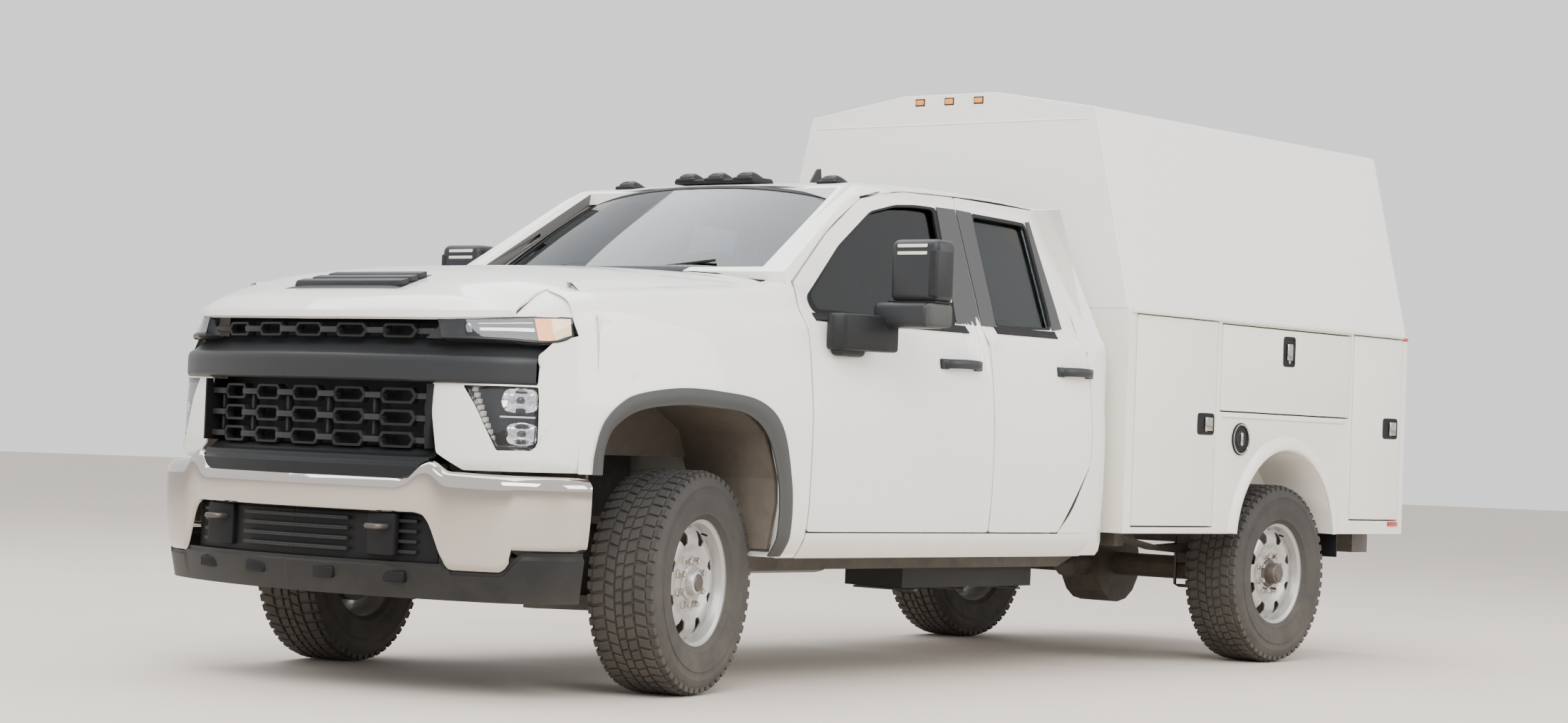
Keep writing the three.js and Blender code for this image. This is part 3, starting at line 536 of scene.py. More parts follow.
@dataclass(frozen=True)
class Finish(Look):
    """An opaque finish: paint, plastic, metal or rubber, with its grain, drift, dust and wear.

    Args:
        name: the material's name.
        slot: the record's material slot; not used.
        colour: main colour.
        roughness: surface roughness.
        metallic: 1 for bare metal.
        coat: clear coat weight.
        second: colour that it drifts towards; a darker tone of its own if not given.
        drift: how far it drifts.
        grain: scale and height in mm of the fine grain.
        dust: most dust at the ground.
        reach: height in metres where the dust ends.
        worn: how much the edges are rubbed.
        shine: strength of its mirror-like part.
    """

    name: str
    slot: str
    colour: Tint
    roughness: float
    metallic: float = 0.0
    coat: float = 0.0
    second: Tint | None = None
    drift: float = 0.1
    grain: Flat = (600.0, 0.05)
    dust: float = 0.0
    reach: float = 1.0
    worn: float = 0.0
    shine: float = 0.5

    def lay(self, tree: Tree, shader: Node, coords: Socket) -> None:
        """Lays drift, wear, dust and grain over the colour."""
        fed(tree, shader, {"Metallic": self.metallic, "Coat Weight": self.coat, "Coat Roughness": 0.04,
                           "Specular IOR Level": self.shine})
        second = self.second or tuple(0.7 * c for c in self.colour)
        colour = Effects.group(tree, Effect.MOTTLE, {
            "Vector": coords, "Color": (*self.colour, 1), "Second": (*second, 1), "Scale": 3.0,
            "Amount": self.drift}).outputs["Color"]
        if self.worn:
            lighter = tuple(min(1.0, c * 2.5 + 0.08) for c in self.colour)
            colour = Effects.group(tree, Effect.WEAR, {
                "Vector": coords, "Color": colour, "Worn": (*lighter, 1),
                "Amount": self.worn}).outputs["Color"]
        if self.dust:
            dusty = Effects.group(tree, Effect.DUST, {
                "Vector": coords, "Color": colour, "Roughness": self.roughness, "Dust": (*ROAD_DUST, 1),
                "Reach": self.reach, "Amount": self.dust})
            colour = dusty.outputs["Color"]
            tree.links.new(dusty.outputs["Roughness"], shader.inputs["Roughness"])
        else:
            shader.inputs["Roughness"].default_value = self.roughness
        tree.links.new(colour, shader.inputs["Base Color"])
        height = Effects.group(tree, Effect.GRAIN, {"Vector": coords, "Scale": self.grain[0],
                                                    "Softness": 0.5})
        bump = Effects.node(tree, "ShaderNodeBump", {"Height": height.outputs["Height"], "Strength": 0.6,
                                                     "Distance": self.grain[1] / 1000})
        tree.links.new(bump.outputs["Normal"], shader.inputs["Normal"])


@dataclass(frozen=True)
class Pane(Look):
    """Glass or a clear or coloured lens.

    Args:
        name: the material's name.
        slot: the record's material slot; not used.
        colour: tint of what shines through.
        roughness: haze.
        clear: share that shines through.
        shine: strength of its mirror-like part.
    """

    name: str
    slot: str
    colour: Tint
    roughness: float = 0.0
    clear: float = 1.0
    shine: float = 0.5

    def lay(self, tree: Tree, shader: Node, coords: Socket) -> None:
        """Sets the glass, with a faint film of dust in its gloss."""
        fed(tree, shader, {"Transmission Weight": self.clear, "IOR": 1.47, "Metallic": 0.0,
                           "Specular IOR Level": self.shine})
        tint = Effects.group(tree, Effect.MOTTLE, {
            "Vector": coords, "Color": (*self.colour, 1), "Scale": 2.0, "Amount": 0.5,
            "Second": tuple(0.9 * c for c in self.colour) + (1,)})
        tree.links.new(tint.outputs["Color"], shader.inputs["Base Color"])
        film = Effects.node(tree, "ShaderNodeTexNoise", {"Vector": coords, "Scale": 5.0, "Detail": 5.0})
        haze = Effects.node(tree, "ShaderNodeMapRange", {"Value": film.outputs["Fac"], "From Min": 0.35,
                                                         "From Max": 0.75, "To Min": self.roughness,
                                                         "To Max": self.roughness + 0.05})
        tree.links.new(haze.outputs[0], shader.inputs["Roughness"])


@dataclass(frozen=True)
class Cloth(Look):
    """Woven seat cloth with a flecked, soft surface.

    Args:
        name: the material's name.
        slot: the record's material slot; not used.
        colour: yarn colour.
        thread: threads to the metre.
    """

    name: str
    slot: str
    colour: Tint
    thread: float = 420.0

    def lay(self, tree: Tree, shader: Node, coords: Socket) -> None:
        """Lays crossed thread waves that lift and darken the yarn."""
        fed(tree, shader, {"Roughness": 0.92, "Sheen Weight": 0.25, "Sheen Roughness": 0.5})
        threads = [Effects.node(tree, "ShaderNodeTexWave", {"Vector": coords, "Scale": self.thread / 20},
                                bands_direction=way).outputs["Fac"] for way in ("X", "Y", "Z")]
        first = Effects.node(tree, "ShaderNodeMath", {0: threads[0], 1: threads[1]}, operation="MULTIPLY")
        weave = Effects.node(tree, "ShaderNodeMath", {0: first.outputs[0], 1: threads[2]}, operation="ADD")
        dark = tuple(0.55 * c for c in self.colour)
        colour = Effects.node(tree, "ShaderNodeMix", {0: weave.outputs[0], 6: (*dark, 1),
                                                      7: (*self.colour, 1)},
                              data_type="RGBA")
        tree.links.new(colour.outputs[2], shader.inputs["Base Color"])
        bump = Effects.node(tree, "ShaderNodeBump", {"Height": weave.outputs[0], "Strength": 0.5,
                                                     "Distance": 0.0004})
        tree.links.new(bump.outputs["Normal"], shader.inputs["Normal"])


PAINT = Finish("cab_white_paint", "white_paint", (0.83, 0.815, 0.77), 0.28, coat=0.8, drift=0.03,
               grain=(900, 0.012), dust=0.32, reach=0.85)
BODY_PAINT = Finish("body_white_paint", "white_paint", (0.80, 0.775, 0.70), 0.34, coat=0.5, drift=0.04,
                    grain=(700, 0.02), dust=0.25, reach=0.8)
TOPPER_PAINT = Finish("topper_white_paint", "white_paint", (0.81, 0.80, 0.765), 0.4, coat=0.3, drift=0.05,
                      grain=(500, 0.03))
TRIM = Finish("black_moulding", "black_trim", (0.012, 0.013, 0.014), 0.45, drift=0.12, grain=(1500, 0.12),
              dust=0.1, reach=0.6, worn=0.2, shine=0.22)
SATIN = Finish("charcoal_moulding", "black_trim", (0.022, 0.0235, 0.026), 0.42, drift=0.1,
               grain=(1200, 0.08), shine=0.3)
FLARE = Finish("grey_flare_plastic", "black_trim", (0.05, 0.052, 0.051), 0.6, drift=0.2, grain=(900, 0.2),
               dust=0.12, reach=0.9, worn=0.2, shine=0.3)
APPLIQUE = Finish("satin_pillar_cover", "black_trim", (0.045, 0.046, 0.049), 0.36, drift=0.08,
                  grain=(1500, 0.03), shine=0.35)
CHROME = Finish("chrome_plate", "chrome", (0.54, 0.505, 0.47), 0.05, metallic=1, drift=0.06,
                grain=(60, 0.05), dust=0.08, reach=0.6)
RIM = Finish("silver_wheel_paint", "wheel_steel", (0.44, 0.435, 0.42), 0.36, metallic=0.6, coat=0.3,
             grain=(800, 0.04), dust=0.3, reach=0.7, worn=0.3)
DARK_STEEL = Finish("hub_steel", "wheel_steel", (0.05, 0.05, 0.052), 0.45, metallic=0.6,
                    second=(0.3, 0.2, 0.12),
                    drift=0.25, grain=(500, 0.1), dust=0.2, reach=0.7, worn=0.5)
RUBBER = Finish("tyre_rubber", "tyre", (0.028, 0.028, 0.028), 0.75, second=(0.075, 0.072, 0.068), drift=0.3,
                grain=(900, 0.12), dust=0.16, reach=0.95, shine=0.25)
SEAL = Finish("rubber_seal", "black_trim", (0.008, 0.008, 0.009), 0.5, grain=(900, 0.04), shine=0.2)
LINER = Finish("wheelhouse_liner", "liner", (0.03, 0.028, 0.026), 0.85, second=(0.22, 0.18, 0.14), drift=0.7,
               grain=(240, 1.2), dust=0.5, reach=1.25)
CHASSIS = Finish("chassis_paint", "chassis", (0.014, 0.014, 0.015), 0.6, second=(0.11, 0.085, 0.06),
                 drift=0.4,
                 grain=(300, 0.3), dust=0.35, reach=0.9, worn=0.6)
EXHAUST = Finish("exhaust_steel", "exhaust_steel", (0.28, 0.25, 0.21), 0.5, metallic=0.9,
                 second=(0.22, 0.11, 0.05), drift=0.6, grain=(300, 0.2), dust=0.3, reach=0.8)
TANK = Finish("tank_plastic", "tank_plastic", (0.02, 0.02, 0.021), 0.6, grain=(400, 0.3), dust=0.5, reach=0.8)
CABIN = Finish("cabin_plastic", "cabin_trim", (0.028, 0.028, 0.031), 0.7, grain=(700, 0.25), worn=0.2)
HEADLINER = Finish("headliner", "cabin_trim", (0.12, 0.115, 0.11), 0.95, grain=(900, 0.3))
REFLECTOR = Finish("lamp_reflector", "lamp_lens", (0.9, 0.9, 0.92), 0.05, metallic=1, drift=0.02,
                   grain=(200, 0.01))
LAMP_BODY = Finish("lamp_housing", "lamp_lens", (0.012, 0.012, 0.013), 0.3, coat=0.1, grain=(700, 0.02),
                   shine=0.2)
AMBER = Finish("amber_lens", "lamp_lens", (0.85, 0.30, 0.03), 0.12, coat=0.8, drift=0.1, grain=(400, 0.05))
PALE_AMBER = Finish("pale_amber_lens", "lamp_lens", (0.86, 0.66, 0.42), 0.12, coat=0.8, drift=0.1,
                    grain=(400, 0.05))
RED = Finish("red_lens", "lamp_lens", (0.42, 0.01, 0.01), 0.15, coat=0.8, drift=0.1, grain=(400, 0.05))
STRIP = Finish("pale_strip_lens", "lamp_lens", (0.80, 0.76, 0.68), 0.2, coat=0.8, grain=(300, 0.2))
WINDSHIELD = Pane("windshield_glass", "glazing", (0.20, 0.26, 0.30), shine=0.35)
SIDE_GLASS = Pane("side_glass", "glazing", (0.30, 0.34, 0.36))
DARK_GLASS = Pane("shaded_side_glass", "glazing", (0.06, 0.07, 0.075), shine=0.22)
LENS = Pane("clear_lens", "lamp_lens", (0.97, 0.98, 1.0), shine=0.2)
SMOKED_LENS = Pane("smoked_lens", "lamp_lens", (0.62, 0.64, 0.67), shine=0.1)
SEAT_CLOTH = Cloth("seat_cloth", "seat_cloth", (0.07, 0.07, 0.078))


# ---- pieces -------------------------------------------------------------------------------------


class Build:
    """A piece in the making: several shapes, each with its finish, joined in one mesh."""

    def __init__(self) -> None:
        """Starts with no shapes."""
        self.shapes: list[tuple[Mesh, Look]] = []

    def add(self, shape: Mesh, finish: Look, both: bool = False) -> "Build":
        """Adds a shape.

        Args:
            shape: the shape's mesh.
            finish: its finish.
            both: True to add its twin on the other side as well.

        Returns:
            This piece, for the next call.
        """
        self.shapes.append((shape, finish))
        if both:
            self.shapes.append((flipped(shape), finish))
        return self

    def skin(self, across: int, along: int, where: Where, way: Sequence[float], finish: Look,
             both: bool = False) -> "Build":
        """Adds an open sheet that looks along a direction."""
        return self.add(facing(sheet(across, along, where), way), finish, both)

    def twin(self) -> "Build":
        """The same piece on the other side of the truck."""
        other = Build()
        for shape, finish in self.shapes:
            other.add(flipped(shape), finish)
        return other

    def turned(self, centre: Sequence[float], angle: float, axis: Sequence[float] = (0, 0, 1)) -> "Build":
        """Turns every shape about a point, in mm, by an angle in degrees."""
        middle = at(*centre)
        for shape, _ in self.shapes:
            bmesh.ops.rotate(shape, cent=middle, matrix=Matrix.Rotation(math.radians(angle), 3, Vector(axis)),
                             verts=shape.verts)
        return self

    def finish(self, name: str, body: str, wall: float = 0, soft: float = 0, segments: int = 2,
               replaces: Sequence[str] = (), smooth: float = 34, levels: int = 0) -> bpy.types.Object:
        """Makes the object.

        Args:
            name: the piece's name.
            body: the body that it rides on.
            wall: thickness given to open skins, inwards, in mm.
            soft: width of the edge bevel, in mm.
            segments: steps round a bevelled edge.
            replaces: CAD nodes that it stands for.
            smooth: edges sharper than this many degrees stay sharp.
            levels: subdivision levels.

        Returns:
            The object.
        """
        gathered = bmesh.new()
        finishes: list[Look] = []
        for shape, finish in self.shapes:
            if finish not in finishes:
                finishes.append(finish)
            for face in shape.faces:
                face.material_index = finishes.index(finish)
                face.smooth = True
            poured(shape, gathered)
        mesh = bpy.data.meshes.new(name)
        gathered.to_mesh(mesh)
        for finish in finishes:
            mesh.materials.append(finish.material())
        mesh.set_sharp_from_angle(angle=math.radians(smooth))
        thing = bpy.data.objects.new(name, mesh)
        bpy.context.scene.collection.objects.link(thing)
        if wall:
            shell = thing.modifiers.new("wall", "SOLIDIFY")
            shell.thickness, shell.offset = wall / 1000, -1
        if levels:
            fine = thing.modifiers.new("rounding", "SUBSURF")
            fine.levels = fine.render_levels = levels
        if soft:
            edge = thing.modifiers.new("edges", "BEVEL")
            edge.width, edge.segments, edge.limit_method = soft / 1000, segments, "ANGLE"
            edge.angle_limit = math.radians(40)
            edge.harden_normals = True
        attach(thing, body)
        if replaces:
            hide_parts(*replaces)
        return thing

    def pair(self, name: str, body: str, replaces: Sequence[str] = (), **choices: object) -> None:
        """Makes the left piece and its twin.

        Args:
            name: name after the side, which is also put before the body's and the nodes' names.
            body: the body's name after the side, or "truck".
            replaces: CAD nodes' names after the side.
            choices: passed on to finish.
        """
        for side, build in (("left", self), ("right", self.twin())):
            where = body if body in frame["bodies"] else f"{side}_{body}"
            build.finish(f"{side}_{name}", where, replaces=[f"{side}_{n}" for n in replaces], **choices)


def dress(finish: Look, *nodes: str) -> None:
    """Gives CAD nodes a finish."""
    for name in nodes:
        for slot in frame["nodes"][name].material_slots:
            slot.material = finish.material()


def copied(node: str) -> Mesh:
    """A merged copy of a CAD node's mesh with its flat faces joined up."""
    mesh = bmesh.new()
    mesh.from_mesh(frame["nodes"][node].data)
    bmesh.ops.remove_doubles(mesh, verts=mesh.verts, dist=2e-5)
    bmesh.ops.dissolve_limit(mesh, angle_limit=math.radians(1), verts=mesh.verts, edges=mesh.edges)
    bmesh.ops.recalc_face_normals(mesh, faces=mesh.faces)
    mesh.normal_update()
    mesh.faces.index_update()
    return mesh


def lined(node: str, body: str, outer: Look, inner: Look, middle: Sequence[float] = (0, 1650, 1250),
          depth: float = 7, back: Curve | None = None, front: float | None = None) -> None:
    """Puts a slightly thinner copy of a CAD node in its place, painted outside and trimmed inside.

    Args:
        node: the CAD node.
        body: the body that it rides on.
        outer: finish of the faces that look away from the middle.
        inner: finish of the others.
        middle: a point inside, in mm.
        depth: how far its faces draw in, in mm.
        back: rearmost position at each height, in mm.
        front: where its front part is cut off, in mm.
    """
    shell = copied(node)
    if front is not None:
        bmesh.ops.bisect_plane(shell, geom=[*shell.verts, *shell.edges, *shell.faces], dist=1e-6,
                               plane_co=at(0, front, 0), plane_no=(0, 1, 0), clear_inner=True)
        shell.faces.index_update()
    centre = at(*middle)
    away = {f.index: f.normal.dot(f.calc_center_median() - centre) > 0 for f in shell.faces}
    for vert in shell.verts:
        vert.co -= vert.normal * depth / 1000
        if back:
            vert.co.y = min(vert.co.y, at(0, back(vert.co.z * 1000), 0).y)
    lining = shell.copy()
    bmesh.ops.delete(shell, geom=[f for f in shell.faces if not away[f.index]], context="FACES")
    bmesh.ops.delete(lining, geom=[f for f in lining.faces if away[f.index]], context="FACES")
    Build().add(shell, outer).add(lining, inner).finish(f"{node}_core", body, replaces=[node])


# ---- body surfaces ------------------------------------------------------------------------------


class Flank:
    """The truck's left side: a plan line swept up a side section, then rolled over to the hood."""

    STRAIGHT_END = 2274.0
    BACK = 2694.0
    ROLL_START = 1180.0
    ROLL_END = 1600.0
    SHUT_X = 815.0

    def __init__(self) -> None:
        """Sets the plan line, the section and the shoulder's roll."""
        self.plan = Path([(0, -1046), (180, -1038), (400, -1007), (600, -958), (760, -904), (880, -842),
                          (958, -745), (1004, -610), (1030, -400), (1036, -100), (1036, 600), (1036, 1400),
                          (1036, 2274), (1027, 2524), (1002, 2634), (940, 2688), (800, 2694), (0, 2694)])
        pts = self.plan.points
        straight = int(np.argmin(np.abs(pts[:, 1] - 600) + 9 * np.abs(pts[:, 0] - 1036)))
        self.zero = self.plan.length[straight] - 600
        self.inset = Curve([(498, 76), (530, 50), (588, 20), (700, 6), (800, 2), (1000, 0), (1180, 14),
                            (1368, 42), (1402, 58), (1437, 88), (1554, 127), (1940, 254)])
        self.back = Curve([(498, 2660), (620, 2694), (1180, 2694), (1440, 2668), (1904, 2554), (1990, 2464)])
        self.shut = Curve([(-800, 1338), (-776, 1364), (-723, 1417), (-635, 1450), (-526, 1469), (-150, 1493),
                           (246, 1517), (451, 1536), (604, 1560)])
        self.front_roll = (Curve([(0, 0), (0.25, 0.04), (0.5, 0.12), (0.75, 0.36), (1, 1)]),
                           Curve([(0, 0), (0.25, 0.33), (0.5, 0.64), (0.75, 0.87), (1, 1)]))
        self.rear_roll = (Curve([(0, 0), (0.4, 0.127), (0.55, 0.27), (0.62, 0.36), (0.85, 0.595), (1, 1)]),
                          Curve([(0, 0), (0.4, 0.48), (0.55, 0.62), (0.62, 0.68), (0.85, 0.97), (1, 1)]))

    def line(self, u: float) -> np.ndarray:
        """The plan line's point (x, y) at a run counted like y along the straight side."""
        s = u + self.zero
        return np.array([np.interp(s, self.plan.length, self.plan.points[:, k]) for k in (0, 1)])

    def point(self, u: float, z: float, out: float = 0) -> Vector:
        """A point of the side.

        Args:
            u: run along the plan line.
            z: height.
            out: how far it stands proud.

        Returns:
            The point, in metres.
        """
        here = self.line(u)
        way = self.line(u + 4) - self.line(u - 4)
        inward = np.array([-way[1], way[0]]) / (np.linalg.norm(way) + 1e-9)
        x, y = here + inward * (self.inset(z) - out)
        if y > self.STRAIGHT_END:
            share = (self.back(z) - self.STRAIGHT_END) / (self.BACK - self.STRAIGHT_END)
            y = self.STRAIGHT_END + (y - self.STRAIGHT_END) * share
        return at(x, y, z)

    def rolled(self, u: float, w: float, out: float = 0) -> Vector:
        """A point of the fender, whose top rolls over to the hood's edge above the shoulder."""
        if w <= self.ROLL_START:
            return self.point(u, w, out)
        t = (w - self.ROLL_START) / (self.ROLL_END - self.ROLL_START)
        blend = min(max((u + 600) / 1200, 0), 1)
        a = mix(self.front_roll[0](t), self.rear_roll[0](t), blend)
        b = mix(self.front_roll[1](t), self.rear_roll[1](t), blend)
        foot = self.line(u)
        x = foot[0] - self.inset(self.ROLL_START)
        return at(mix(x, self.SHUT_X, a) + out * (1 - a), foot[1],
                  mix(self.ROLL_START, self.shut(foot[1]), b) + out * a)


FLANK = Flank()
LAMP_OPENING = [(-1080, 1096), (-940, 1097), (-803, 1097), (-800, 1060), (-799, 980), (-799, 896),
                (-822, 875),
                (-945, 873), (-988, 950), (-1030, 1028)]


@dataclass
class Door:
    """A cab door: skin, window frame, black pillar cover, seals, glass finish and handle."""

    name: str
    outline: list[Flat]  # seam, from the front foot over the top to the rear foot
    window: list[Flat]  # glass opening, from the front lower corner over the top
    belt: float
    handle: tuple[float, float]
    covers: Sequence[Sequence[Flat]] = ()
    glass: Look = SIDE_GLASS
    proud: float = 1.5
    skin: float = 6.0

    def place(self, y: float, z: float) -> Vector:
        """A point of the door's skin."""
        return FLANK.point(y, z, self.proud)

    def panel(self) -> Mesh:
        """The skin as one band from the window's edge to the seam."""
        outer = loop(self.outline, 16, 14)
        inner = loop(self.window, 26, 14)
        return facing(ring(outer, inner, 40, self.place), (1, 0, 0))

    def seal(self) -> Mesh:
        """The rubber round the glass."""
        grown = loop(self.window, 26, 10)
        middle = np.mean(np.array(grown), axis=0)
        inner = [tuple(np.array(p) + (middle - np.array(p)) * 0.05) for p in grown]
        outer = [tuple(np.array(p) - (middle - np.array(p)) * 0.008) for p in grown]
        return facing(ring(outer, inner, 2, lambda y, z: FLANK.point(y, z, self.proud + 1.5)), (1, 0, 0))

    def cover(self, corners: list[Flat]) -> Mesh:
        """A smooth black cover laid on the frame between four corners."""
        a, b, c, d = [np.array(p, float) for p in corners]
        return facing(sheet(6, 24, lambda u, v: FLANK.point(
            *(mix(mix(a, b, u), mix(d, c, u), v)), self.proud + 6.5)), (1, 0, 0))

    def pull(self) -> Build:
        """The pull handle on its two feet."""
        y0, y1 = self.handle
        z = 1276.0
        face = [FLANK.point(mix(y0, y1, t), z, 0).x * 1000 for t in (0, 1)]
        x = (face[0] + face[1]) / 2 + self.proud
        build = Build()
        route = [(x - 6, y0 + 12, z), (x + 20, y0 + 30, z + 1), (x + 34, y0 + 70, z + 2),
                 (x + 38, (y0 + y1) / 2, z + 3), (x + 34, y1 - 70, z + 2), (x + 20, y1 - 30, z + 1),
                 (x - 6, y1 - 12, z)]
        build.add(pipe(route, 11, 14, 40, 1.75), SATIN)
        for y in (y0 + 24, y1 - 24):
            build.add(block((x - 8, y - 26, z - 21), (x + 14, y + 26, z + 21), 7, 3), SATIN)
        return build

    def build(self) -> None:
        """Makes both sides of the door."""
        node = f"{self.name}_door"
        body = f"{self.name}_cab_door"
        Build().add(self.panel(), PAINT).pair(f"{node}_skin", body, wall=self.skin, soft=2.2)
        Build().add(self.seal(), SEAL).pair(f"{node}_seal", body, wall=9, soft=1.5)
        covers = Build()
        for corners in self.covers:
            covers.add(self.cover(corners), APPLIQUE)
        covers.pair(f"{node}_pillar_cover", body, wall=7, soft=1.5)
        self.pull().pair(f"{node}_handle", body)
        lo, hi = self.window[0][0] - 14, max(p[0] for p in self.window) + 14
        rail = sheet(40, 3, lambda u, v: FLANK.point(mix(lo, hi, u), mix(self.belt - 26, self.belt + 2, v),
                                                      self.proud + 8))
        Build().add(facing(rail, (1, 0, 0)), SEAL).pair(f"{node}_belt_moulding", body, wall=8, soft=2)
        for side in ("left", "right"):
            dress(self.glass, f"{side}_{node}_glass")
            lined(f"{side}_{node}", f"{side}_{body}", PAINT, CABIN, depth=13)


@dataclass
class Cab:
    """Roof, pillars, rear quarters, sills, cowl and screens."""

    sill_front: float = 608.0
    sill_rear: float = 2632.0
    roof_front: float = 1122.0
    bow: float = 2.2  # how late the screen and the roof curve back to their corners
    seam: list[tuple[float, float, float]] = field(default_factory=lambda: [
        (899, 606, 1557), (832, 883, 1772), (792, 1139, 1926), (778, 1290, 1960), (768, 1437, 1979),
        (764, 1776, 1988), (764, 2100, 1988), (768, 2440, 1974)])
    screen_side: list[tuple[float, float, float]] = field(default_factory=lambda: [
        (764, 664, 1582), (748, 790, 1668), (726, 930, 1764), (702, 1060, 1850), (682, 1166, 1917)])

    def screen_point(self, u: float, v: float, out: float = 0) -> Vector:
        """A point of the windshield; u runs across, v up."""
        side = Path(self.screen_side)(v)
        t = 2 * u - 1
        centre = (mix(540, self.roof_front, v), mix(1592, 1982, v))
        y = mix(centre[0], side[1], abs(t) ** self.bow)
        z = mix(centre[1], side[2], abs(t) ** 2.4) + 10 * math.sin(math.pi * v) * (1 - t * t)
        return at(side[0] * t, y - out * 0.6, z + out * 0.8)

    def roof_point(self, u: float, v: float) -> Vector:
        """A point of the roof; u runs across from seam to seam, v from the screen to the back."""
        t = 2 * u - 1
        edge = Path(self.seam[2:])
        front = np.array([682, 1172, 1924.0])
        side = edge(v)
        if v < 0.12:
            side = front + (edge(0.12) - front) * (v / 0.12)
        start = mix(self.roof_front + 8, front[1], abs(t) ** self.bow)
        y = mix(start, mix(2470, 2440, abs(t) ** 4), v)
        crown = Curve([(0, 1986), (0.08, 1998), (0.25, 2020), (0.5, 2033), (0.75, 2026), (0.92, 2006),
                       (1, 1984)])(v)
        z = mix(crown, side[2], abs(t) ** 5)
        return at(side[0] * t, y, z)

    def pillar_point(self, u: float, v: float) -> Vector:
        """A point of the windshield pillar's cover between the glass and the door seam."""
        a = Path([(768, 652, 1580), *self.screen_side[1:]])(v)
        b = Path(self.seam[:3])(v)
        bulge = 13 * math.sin(math.pi * u)
        p = mix(a, b, u)
        return at(p[0] + bulge, p[1], p[2] + bulge * 0.7)

    def quarter(self) -> Mesh:
        """The rear quarter between the rear door's seam and the back, and half of the back panel."""
        seam = Path([(2278, 602), (2366, 690), (2496, 900), (2500, 1320), (2468, 1486), (2396, 1972)], False)

        def where(u: float, v: float) -> Vector:
            y, z = seam(v)
            end = FLANK.plan.length[-1] - FLANK.zero
            knee = 2770.0
            run = mix(y, knee, min(u / 0.5, 1)) if u <= 0.5 else mix(knee, end, (u - 0.5) / 0.5)
            return FLANK.point(run, z, 0.5)

        return facing(sheet(36, 30, where), (1, 0.6, 0))

    def sill(self) -> Mesh:
        """The rocker below the doors."""
        def where(u: float, v: float) -> Vector:
            z = mix(498, 597, v)
            return FLANK.point(mix(self.sill_front, self.sill_rear - (1 - v) * 40, u), z, 0.6)
        return facing(sheet(60, 6, where), (1, 0, 0))

    def build(self) -> None:
        """Makes the cab's fixed skins."""
        Build().skin(40, 44, self.roof_point, (0, 0, 1), PAINT).finish(
            "roof_skin", "truck", wall=8, soft=2)
        Build().skin(6, 40, self.pillar_point, (1, -1, 0.5), PAINT).pair(
            "screen_pillar", "truck", wall=8, soft=2)
        Build().add(self.quarter(), PAINT).pair("rear_quarter", "truck", wall=5, soft=2)
        Build().add(self.sill(), PAINT).pair("rocker", "truck", wall=6, soft=3)
        glass = sheet(36, 24, self.screen_point)
        Build().add(facing(glass, (0, -1, 1)), WINDSHIELD).finish(
            "windshield_pane", "truck", wall=6, replaces=["windshield"])
        border = Build()
        for a, b in ((0.0, 0.035), (0.965, 1.0)):
            border.skin(3, 30, lambda u, v, a=a, b=b: self.screen_point(mix(a, b, u), v, 1.5),
                        (0, -1, 1), SEAL)
        border.skin(40, 3, lambda u, v: self.screen_point(u, mix(0.965, 1.0, v), 1.5),
                    (0, -1, 1), SEAL)
        border.skin(40, 3, lambda u, v: self.screen_point(u, mix(0.0, 0.05, v), 1.5),
                    (0, -1, 1), SEAL)
        border.finish("windshield_border", "truck", wall=3)
        cowl = sheet(40, 6, lambda u, v: at(
            (2 * u - 1) * 800, mix(546, mix(546, 668, abs(2 * u - 1) ** self.bow), v),
            mix(1574, 1586, v) - 18 * abs(2 * u - 1) ** 3))
        Build().add(facing(cowl, (0, 0, 1)), TRIM).finish("cowl_panel", "truck", wall=12, soft=2)
        for side in (1, -1):
            arm = pipe([(side * 300 - 260, 560, 1590), (side * 300 - 60, 590, 1612),
                        (side * 300 + 180, 640, 1640)], 6, 8, 20)
            Build().add(arm, TRIM).finish(f"{'left' if side > 0 else 'right'}_wiper", "truck")
        lined("cab_shell", "truck", PAINT, HEADLINER,
              back=Curve([(0, 2692), (1440, 2680), (1800, 2575), (1904, 2530), (1960, 2480), (2000, 2420),
                          (2100, 2400)]))
        dress(SIDE_GLASS, "back_window")


